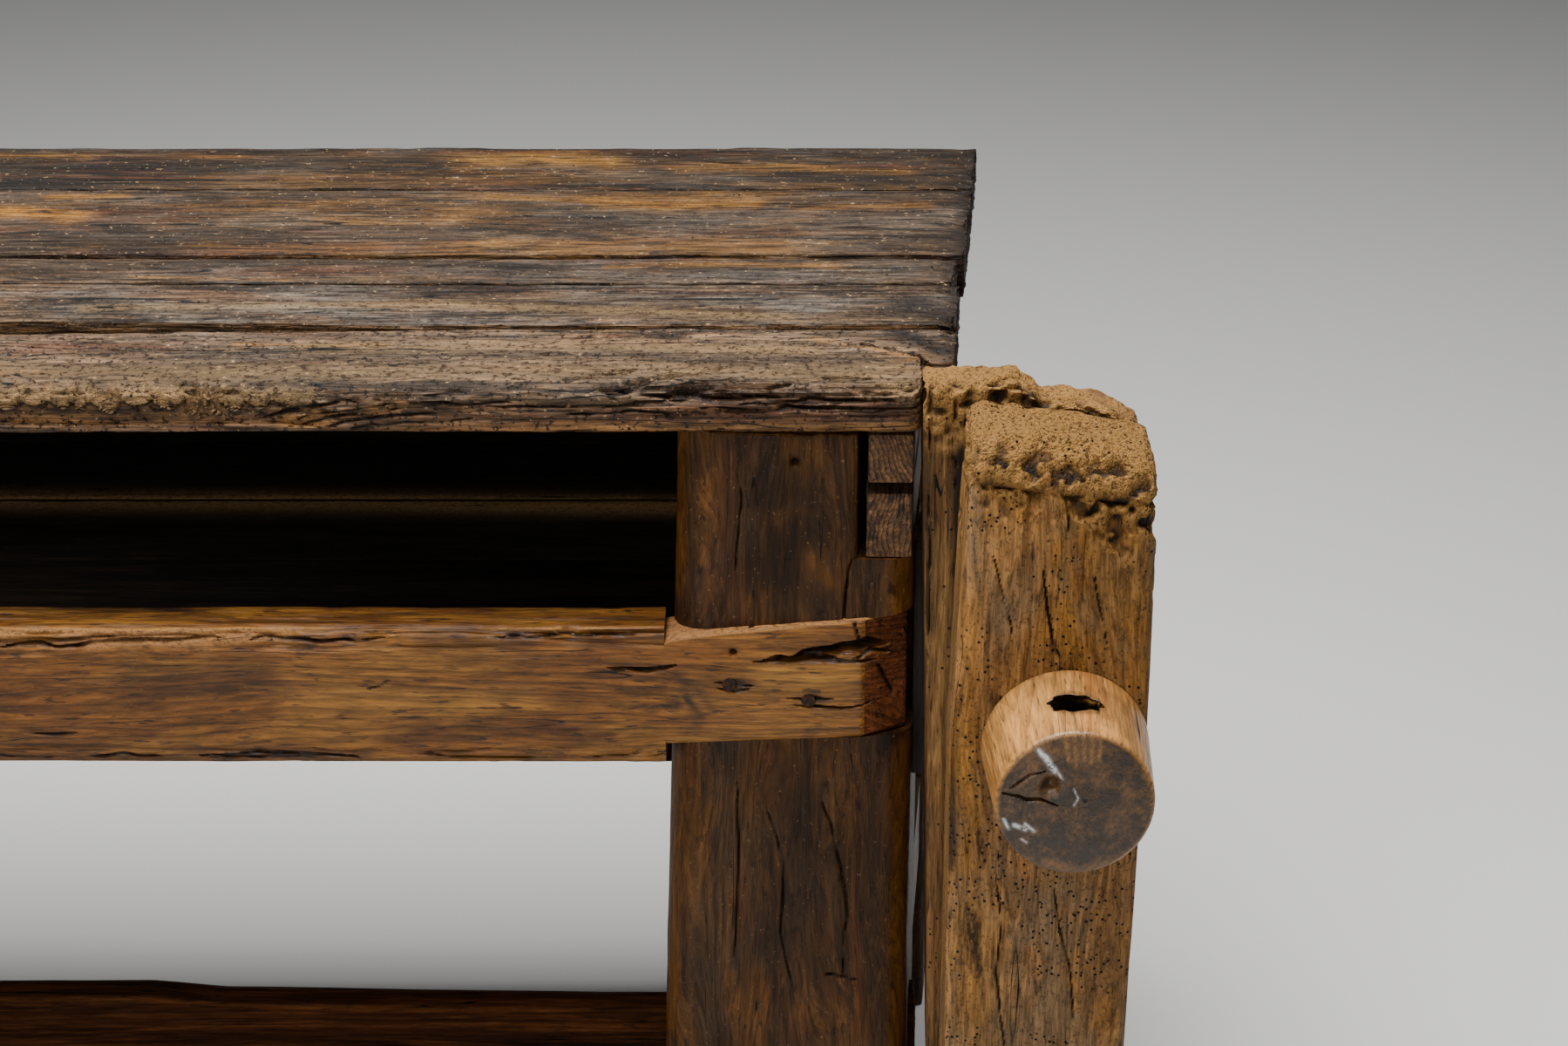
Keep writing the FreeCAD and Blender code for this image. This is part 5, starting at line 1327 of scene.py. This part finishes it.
def screw_head():
    """The screw's turned head, which narrows to a bulging, polished end, bored through for the bar.

    Its profile is a parabola over the end, a quarter circle at the rim and a straight taper to the chop.
    """
    face = SCREW_LOW[1]
    back = CHOP_LOW[1] - 0.3 * MM
    flat_radius = HEAD_FRONT_RADIUS - HEAD_RIM
    cap_radius = np.linspace(0.02, 1, 52) * flat_radius
    cap_place = face + HEAD_BULGE * (cap_radius / flat_radius) ** 2
    bend = np.linspace(0, QUARTER, 8)[1:]
    drum_place = np.linspace(cap_place[-1] + HEAD_RIM, back - 2 * MM, 44)[1:]
    drum_radius = np.interp(drum_place, (face + HEAD_BULGE + HEAD_RIM, back),
                            (HEAD_FRONT_RADIUS, HEAD_BACK_RADIUS))
    shrink = np.linspace(1, 0, 9)[1:-1]
    place = np.concatenate((cap_place, cap_place[-1] + HEAD_RIM * (1 - np.cos(bend)), drum_place,
                            (back - 0.6 * MM, back), back + 0 * shrink))
    radius = np.concatenate((cap_radius, flat_radius + HEAD_RIM * np.sin(bend), drum_radius,
                             (HEAD_BACK_RADIUS - 0.6 * MM, HEAD_BACK_RADIUS - 2 * MM),
                             (HEAD_BACK_RADIUS - 2 * MM) * shrink))
    surface = turned(SCREW_AXIS, place, radius, 288)
    weather(surface, wear=2 * MM, swell=1.6 * MM, ridge=0.3 * MM, proud=0.6 * MM, seed=120)
    points = surface.points
    out = np.hypot(points[..., 0] - SCREW_AXIS[0], points[..., 2] - SCREW_AXIS[2])
    on_end = ramp(face + 13 * MM, face + 8 * MM, points[..., 1]) * ramp(back, back - 1 * MM, points[..., 1])
    mottle = 0.5 + 0.5 * noise(points, 26 * MM, 122) + 0.25 * noise(points, 7 * MM, 123)
    surface.grime = on_end * (0.78 + 0.4 * mottle) * ramp(HEAD_FRONT_RADIUS + 1 * MM, flat_radius, out)
    stain(surface, grime=0.3 * ramp(0.5, 0.9, mottle) * (1 - on_end))
    surface.honey = on_end * 0
    end_plane = face + 3 * MM
    dent(surface, seen(1205, 900, y=end_plane), 6 * MM, 9 * MM, "y", "grime", 1.0)
    draw_wear(surface, HEAD_CRACKS, HEAD_STROKES, y=end_plane)
    mesh = make_mesh("screw_head", surface)
    cutter = bar_hole_cutter()
    head = bpy.data.objects.new("screw_head", mesh)
    bpy.context.scene.collection.objects.link(head)
    bore = head.modifiers.new("bar_hole", "BOOLEAN")
    bore.operation = "DIFFERENCE"
    bore.solver = "EXACT"
    bore.object = cutter
    cut = bpy.data.meshes.new_from_object(head.evaluated_get(bpy.context.evaluated_depsgraph_get()))
    bpy.data.objects.remove(head)
    bpy.data.objects.remove(cutter)
    darken_bore(cut)
    return cut


def darken_bore(mesh):
    """Darkens every point of the head within reach of the bore's own line."""
    points = np.empty(len(mesh.vertices) * 3)
    mesh.vertices.foreach_get("co", points)
    points = points.reshape(-1, 3)
    off = np.hypot((points[:, 0] - SCREW_AXIS[0] - BAR_SHIFT) / 1.3, points[:, 1] - CHOP_LOW[1] + BAR_BACK)
    values = np.empty(len(points), np.float32)
    layer = mesh.attributes["grime"]
    layer.data.foreach_get("value", values)
    layer.data.foreach_set("value", np.maximum(
        values, 0.6 * ramp(BAR_HOLE_RADIUS * 1.35, BAR_HOLE_RADIUS, off)).astype(np.float32))


def bar_hole_cutter():
    """A tube through the head for its bar, torn wide at both mouths: an ellipse that widens along x."""
    height = np.linspace(-1.12, 1.12, 57) * HEAD_BACK_RADIUS
    mouth = ramp(0.7, 1.0, np.abs(height) / HEAD_BACK_RADIUS)
    turn = np.linspace(0, FULL_TURN, 56, endpoint=False)
    torn = 1 + 0.08 * np.sin(3 * turn + 1) + 0.07 * np.sin(7 * turn) + 0.05 * np.sin(11 * turn + 2)
    wide = (BAR_HOLE_RADIUS * (0.95 + 0.55 * mouth))[:, None] * torn
    tall = (BAR_HOLE_RADIUS * (0.95 - 0.12 * mouth))[:, None] * torn
    points = np.stack((SCREW_AXIS[0] + BAR_SHIFT + wide * np.cos(turn) - 2 * MM * mouth[:, None],
                       CHOP_LOW[1] - BAR_BACK + tall * np.sin(turn),
                       SCREW_AXIS[2] + height[:, None] + 0 * wide), axis=-1)
    surface = unstained("Z", points)
    stain(surface, grime=0.6)
    tube = make_mesh("cutter", surface)
    tube.polygons.foreach_set("material_index", np.ones(len(tube.polygons), int))
    cutter = bpy.data.objects.new("cutter", tube)
    bpy.context.scene.collection.objects.link(cutter)
    return cutter


def wood_colour(name, description, code):
    """A colour setting whose default is an sRGB hex colour."""
    return FloatVectorProperty(name=name, description=description, subtype="COLOR", size=4, min=0, max=1,
                               default=linear(code))


# Settings

class BenchSettings(PropertyGroup):
    """Sizes and colours of the dressed bench that a user would change."""

    thread_pitch: FloatProperty(name="Thread pitch", description="Travel of the chop in one turn",
                                default=20 * MM, min=8 * MM, unit="LENGTH")
    thread_depth: FloatProperty(name="Thread depth", description="Depth of the groove cut in the screw",
                                default=6 * MM, min=1 * MM, unit="LENGTH")
    plank_colour: wood_colour("Planks", "Middle tone of the top's oiled pine", "#4b3a29")
    leg_colour: wood_colour("Legs", "Middle tone of the legs' dark elm", "#3c2611")
    stretcher_colour: wood_colour("Upper stretchers", "Middle tone of their golden beech", "#774917")
    low_rail_colour: wood_colour("Lower stretchers", "Middle tone of their brown oak", "#301808")
    end_rail_colour: wood_colour("End rails", "Middle tone of the sawn oak", "#5c4027")
    # The shelf's near-black default tone is a painted shade under the top
    shelf_colour: wood_colour("Shelf", "Middle tone of the sooty pine", "#17100a")
    post_colour: wood_colour("Post", "Middle tone of the fixed jaw's walnut", "#7a5731")
    chop_colour: wood_colour("Chop", "Middle tone of the moving jaw's walnut", "#9c7040")
    screw_colour: wood_colour("Screw", "Middle tone of the turned pear", "#bc8548")
    floor_colour: wood_colour("Floor", "Paint of the studio floor", "#cfcecb")
    key_power: FloatProperty(name="Key light", description="Power of the large soft light", default=260.0,
                             min=0, unit="POWER")
    fill_power: FloatProperty(name="Fill light", description="Power of the weaker light at the left",
                              default=45.0, min=0, unit="POWER")


def mark_hewn_ends(mesh, right):
    """Gives the second material to the faces beyond a place at the right, and to the left end's own face."""
    centres = np.empty(len(mesh.polygons) * 3)
    normals = np.empty(len(mesh.polygons) * 3)
    mesh.polygons.foreach_get("center", centres)
    mesh.polygons.foreach_get("normal", normals)
    hewn = (centres[0::3] > right) & (normals[2::3] < 0.6) | (normals[0::3] < -0.7)
    mesh.polygons.foreach_set("material_index", hewn.astype(int))


def run_operator(kind):
    """Runs a registered operator by its id and stops with an error unless it finishes."""
    group, name = kind.bl_idname.split(".")
    if getattr(getattr(bpy.ops, group), name)() != {"FINISHED"}:
        raise RuntimeError(f"{kind.bl_idname} didn't finish")


class BENCH_OT_planks(Operator):
    """Adds the five planks of the top"""

    bl_idname = "bench.planks"
    bl_label = "Planks"

    def execute(self, context):
        # Tone against the setting, honey colour, glow, silver and painted sheen, red, pits. The tone steps
        # down from the front plank to the rear one: partly each plank's own tone, partly painted shade of
        # light that falls off towards the rear
        plank_tones_and_shade = {
            "top_board_front": (1.5, "#8a6236", 0.35, 0.3, 0.35, 0.9),
            "top_board_second": (1.12, "#7c5833", 0.15, 0.75, 0.15, 0.45),
            "top_board_third": (0.72, "#80582a", 0.35, 0.5, 0.25, 0.3),
            "top_board_fourth": (0.62, "#8a5e28", 0.45, 0.35, 0.25, 0.25),
            "top_board_rear": (0.28, "#7e5724", 0.3, 0.25, 0.2, 0.15),
        }
        for number, (node, (factor, honey, glow, silver_and_sheen, red, pitted)) in enumerate(plank_tones_and_shade.items()):
            # Oiled softwood, dark with use: honey streaks where it is rubbed, grey soil in its hollows
            tone = lighter(context.scene.bench.plank_colour, factor)
            wood = old_wood(f"oiled_pine_{number + 1}", "X", tone, honey, seed=number + 1, deep=0.2, light=2.2,
                            pith=(-0.02 - 0.1 * number, 0.25), ring=5 * MM, glow=glow, silver_and_sheen=silver_and_sheen, red=red,
                            pitted=pitted, grime=0.5, gloss=0.22, bump=2.4, checks=0.9, worms=0.04, fibres=0.8,
                            fleck=0.6, pores=0.75, shine=0.2, coarse=1.5, sand="#957850")
            add_timber(node.replace("top_board", "plank"), plank(node), wood, "bench", "top_wood", node)
        return {"FINISHED"}


class BENCH_OT_legs(Operator):
    """Adds the four hewn legs"""

    bl_idname = "bench.legs"
    bl_label = "Legs"

    def execute(self, context):
        places = itertools.product(("front", "rear"), ("left", "right"))
        for number, node in enumerate("_".join(("leg", *place)) for place in places):
            # Dark elm, waxed by hands: swirling grain and bright worn arrises
            wood = old_wood(f"dark_elm_{number + 1}", "Z", context.scene.bench.leg_colour, "#8a5718",
                            seed=10 + number, deep=0.4, light=2.0, pith=(-0.86, 0.1), ring=6 * MM, glow=0.2,
                            red=0.15, silver_and_sheen=0.35, grey="#453729", gloss=0.3, flame=60 * MM, checks=0.3,
                            fibres=0.4, shine=0.15, fleck=0.2, pores=0.6)
            add_timber(f"post_{node}", leg(node), wood, "bench", "leg_wood", node)
        return {"FINISHED"}


class BENCH_OT_stretchers(Operator):
    """Adds the upper and lower stretchers"""

    bl_idname = "bench.stretchers"
    bl_label = "Stretchers"

    def execute(self, context):
        settings = context.scene.bench
        for number, side in enumerate(("front", "rear")):
            # Golden beech, smooth from use, with short dark flecks
            gold = old_wood(f"golden_beech_{number + 1}", "X", settings.stretcher_colour, "#b07a30",
                            seed=20 + number, light=1.55, pith=(0.3, -0.35), ring=7 * MM, rings=0.4, glow=0.45,
                            red=0.35, checks=0.45, bump=0.9, fibres=0.5, shine=0.3, fleck=0.1, pores=0.7,
                            warm="#5a2a0e", flame=22 * MM, sand="#c8905a")
            # The hewn ends of the same beech drink the oil and stay reddish and dull
            hewn = old_wood(f"beech_end_{number + 1}", "X", linear("#5c3218"), "#8a5a34", seed=27 + number,
                            deep=0.45, light=1.7, pith=(0.3, -0.35), ring=5 * MM, rings=0.5, gloss=0.1,
                            checks=0.9, bump=1.2, shine=0.1, fleck=0.15, pores=0.8, flame=22 * MM)
            node = f"upper_stretcher_{side}"
            mesh = make_mesh(f"lapped_rail_{side}", upper_stretcher(node))
            mark_hewn_ends(mesh, seen(991, 780, y=corners("upper_stretcher_front")[0][1])[0])
            add_piece(f"lapped_rail_{side}", mesh, (gold, hewn), "bench", "stretcher_wood", node)
            # Brown oak, nearly black near the floor
            brown = old_wood(f"brown_oak_{number + 1}", "X", settings.low_rail_colour, "#6b3e10",
                             seed=24 + number, light=2.3, pith=(0.2, 0.1), ring=6 * MM, grime=0.4, gloss=0.15,
                             shine=0.03)
            node = f"lower_stretcher_{side}"
            add_timber(f"low_rail_{side}", lower_stretcher(node), brown, "bench", "rail_wood", node)
        return {"FINISHED"}


class BENCH_OT_end_rails(Operator):
    """Adds the bearers and rails of both ends"""

    bl_idname = "bench.end_rails"
    bl_label = "End rails"

    def execute(self, context):
        for number, kind in enumerate(("top_bearer", "upper_end_rail")):
            for side in ("left", "right"):
                # Sawn oak, brown on its faces, with its rings showing on its ends
                wood = old_wood(f"sawn_oak_{kind}_{side}", "Y", context.scene.bench.end_rail_colour, "#a07448",
                                seed=30 + number, deep=0.22, light=2.4, pith=(-0.8 + 0.1 * number, -1.02),
                                ring=3.6 * MM, rings=0.8, gloss=0.2, checks=0.6, shine=0.3, bump=1.2)
                node = f"{kind}_{side}"
                add_timber(f"bar_{node}", cross_bar(node), wood, "bench", "rail_wood", node)
        return {"FINISHED"}


class BENCH_OT_shelf(Operator):
    """Adds the boards of the tool shelf"""

    bl_idname = "bench.shelf"
    bl_label = "Shelf"

    def execute(self, context):
        for number in range(1, 5):
            # Rough pine boards, near black: their tone is a painted shade under the top
            wood = old_wood(f"sooty_pine_{number}", "X", context.scene.bench.shelf_colour, "#382718",
                            seed=40 + number, deep=0.43, light=2.0, grime=0.6, gloss=0.1, shine=0.1,
                            sand="#b98f58")
            node = f"shelf_board_{number}"
            add_timber(f"slab_{number}", shelf_board(node), wood, "bench", "shelf_wood", node)
        return {"FINISHED"}


class BENCH_OT_jaws(Operator):
    """Adds the vise's fixed post and its moving chop"""

    bl_idname = "bench.jaws"
    bl_label = "Jaws"

    def execute(self, context):
        settings = context.scene.bench
        # Walnut gone grey-brown, crumbling at its end grain, with worm holes
        post = old_wood("grey_walnut", "Z", settings.post_colour, "#a27a44", seed=50, deep=0.28, light=1.6,
                        pith=(-1.0, 0.12), ring=6 * MM, rings=0.3, worms=0.2, grime=0.35, gloss=0.2, bump=1.4,
                        checks=0.4, fibres=0.5, glow=0.3, red=0.2, shine=0.2, fleck=0.15, pores=0.6,
                        sand="#a67a42")
        add_timber("jaw_post", vise_post(), post, "bench", "post_wood", "vise_post")
        # Worm-eaten walnut, ochre and grey-brown, cracked along its grain
        chop = old_wood("wormed_walnut", "Z", settings.chop_colour, "#a87228", seed=51, deep=0.48, light=1.5,
                        pith=(-0.95, 0.45), ring=7 * MM, worms=0.65, grime=0.35, gloss=0.2, bump=1.8,
                        checks=0.3, fibres=0.45, glow=0.6, silver_and_sheen=0.75, red=0.3, shine=0.15, fleck=0.35,
                        pores=0.45, pitted=0.35, grey="#7a644a", warm="#7a4218", flame=32 * MM,
                        sand="#a67a42")
        add_timber("jaw_chop", vise_chop(), chop, "chop", "chop_wood", "vise_chop")
        return {"FINISHED"}


class BENCH_OT_screw(Operator):
    """Adds the wooden screw's head and its threaded shank"""

    bl_idname = "bench.screw"
    bl_label = "Screw"

    def execute(self, context):
        # Turned pear, pale on its drum and polished dark on its end, with splashes of white paint
        pear = old_wood("turned_pear", "Y", context.scene.bench.screw_colour, "#b8803f", seed=60, deep=0.55,
                        light=1.25, pith=(-0.985, -0.60), ring=5 * MM, grime=0.1, gloss=0.5, red=0.5,
                        flame=6 * MM, pores=0.5, warm="#8e4e22", soil="#33281d", sand="#dcdcda")
        # The bore was never finished: rough and brown with old grease
        bore = old_wood("raw_bore", "Z", linear("#3d2b16"), "#5a4020", seed=61, gloss=0.0, shine=0.02)
        add_piece("screw_head", screw_head(), (pear, bore), "screw", "screw_wood", "vise_screw")
        add_timber("screw_thread", screw_shank(), pear, "screw", "screw_wood")
        return {"FINISHED"}


# The run of the grain and the tone of each part whose own solid shows
PLAIN_NODES = {
    "nut_block": ("Z", "#3a291b"), "parallel_guide": ("Y", "#6b4a2c"), "garter_key": ("X", "#6b4a2c"),
    "guide_pin": ("X", "#7a5735"), "guide_peg": ("X", "#7a5735"), "frame_pegs": ("Y", "#4a3321"),
    "lower_end_rail_left": ("Y", "#3a281a"), "lower_end_rail_right": ("Y", "#3a281a"),
    # The shelf bearers' near-black tone is a painted shade under the top
    "shelf_bearer_left": ("Y", "#1c130d"), "shelf_bearer_middle": ("Y", "#1c130d"),
    "shelf_bearer_right": ("Y", "#1c130d"),
}


class BENCH_OT_small_parts(Operator):
    """Gives the frame's own small parts their wood and iron"""

    bl_idname = "bench.small_parts"
    bl_label = "Small parts"

    def execute(self, context):
        iron = forged_iron()
        for node in ("stretcher_nails", "top_nails", "nut_block_nails"):
            set_material(node, iron)
        for number, (node, (run, tone)) in enumerate(PLAIN_NODES.items()):
            # Sawn hardwood, left plain because hands never rubbed it
            wood = old_wood(f"sawn_hardwood_{node}", run, linear(tone), "#8a6540", seed=70 + number,
                            pith=(0.04, 0.03), ring=3 * MM, gloss=0.25)
            set_material(node, wood)
        return {"FINISHED"}


# Each light's name, size, place and target; its power is a setting
LIGHTS = (("key", 2.4, (0.3, -0.1, 3.3), (0.6, -0.1, 0.0)),
          ("fill", 1.6, (0.0, -3.4, 1.9), (0.8, -0.2, 0.45)))
FLOOR_REACH = 9.0
SKY_STRENGTH = 0.12


def aim(obj, place, target):
    """Puts an object at a place and turns its -Z axis to a target."""
    way = np.subtract(target, place)
    obj.location = place
    obj.rotation_euler = (math.atan2(math.hypot(way[0], way[1]), -way[2]), 0,
                          math.atan2(way[1], way[0]) - QUARTER)


def add_light(context, name, power, size, place, target):
    """Adds a large square light, soft as a studio box."""
    lamp = bpy.data.lights.new(name, "AREA")
    lamp.energy = power
    lamp.size = size
    light = bpy.data.objects.new(name, lamp)
    context.scene.collection.objects.link(light)
    aim(light, place, target)


def add_camera(context):
    """Adds the camera that fits the photograph: level across and tilted down."""
    data = bpy.data.cameras.new("camera")
    data.sensor_width = SENSOR_WIDTH
    data.lens = FOCAL_PIXELS / PHOTO_WIDTH * SENSOR_WIDTH
    camera = bpy.data.objects.new("camera", data)
    camera.location = CAMERA
    camera.rotation_euler = (QUARTER - CAMERA_TILT, 0, 0)
    context.scene.collection.objects.link(camera)
    context.scene.camera = camera


class BENCH_OT_stage(Operator):
    """Adds the pale floor, the soft lights and the camera"""

    bl_idname = "bench.stage"
    bl_label = "Stage"

    def execute(self, context):
        settings = context.scene.bench
        mesh = bpy.data.meshes.new("floor")
        square = ((-1, -1), (1, -1), (1, 1), (-1, 1))
        mesh.from_pydata([(x * FLOOR_REACH, y * FLOOR_REACH, 0) for x, y in square], [], [(0, 1, 2, 3)])
        mesh.materials.append(painted_floor(settings.floor_colour))
        floor = bpy.data.objects.new("floor", mesh)
        context.scene.collection.objects.link(floor)
        world = bpy.data.worlds.new("studio")
        world.use_nodes = True
        sky = world.node_tree.nodes["Background"].inputs
        sky["Color"].default_value = linear("#c9ccd0")
        sky["Strength"].default_value = SKY_STRENGTH
        context.scene.world = world
        for name, size, place, target in LIGHTS:
            add_light(context, name, getattr(settings, f"{name}_power"), size, place, target)
        add_camera(context)
        return {"FINISHED"}


PIECES = (BENCH_OT_planks, BENCH_OT_legs, BENCH_OT_stretchers, BENCH_OT_end_rails, BENCH_OT_shelf,
          BENCH_OT_jaws, BENCH_OT_screw, BENCH_OT_small_parts, BENCH_OT_stage)


class BENCH_PT_workbench(Panel):
    """Lists the sizes, the colours and the pieces of the workbench"""

    bl_label = "Workbench"
    bl_space_type = "VIEW_3D"
    bl_region_type = "UI"
    bl_category = "Workbench"

    def draw(self, context):
        for name in BenchSettings.__annotations__:
            self.layout.prop(context.scene.bench, name)
        for piece in PIECES:
            self.layout.operator(piece.bl_idname)


CLASSES = (BenchSettings, *PIECES, BENCH_PT_workbench)


def register():
    """Registers the classes and hangs the settings on the scene."""
    for kind in CLASSES:
        bpy.utils.register_class(kind)
    bpy.types.Scene.bench = PointerProperty(type=BenchSettings)


def unregister():
    """Takes the settings and the classes away again."""
    del bpy.types.Scene.bench
    for kind in reversed(CLASSES):
        bpy.utils.unregister_class(kind)


def main():
    """Adds every piece in order."""
    register()
    for piece in PIECES:
        run_operator(piece)


if __name__ == "__main__":
    main()
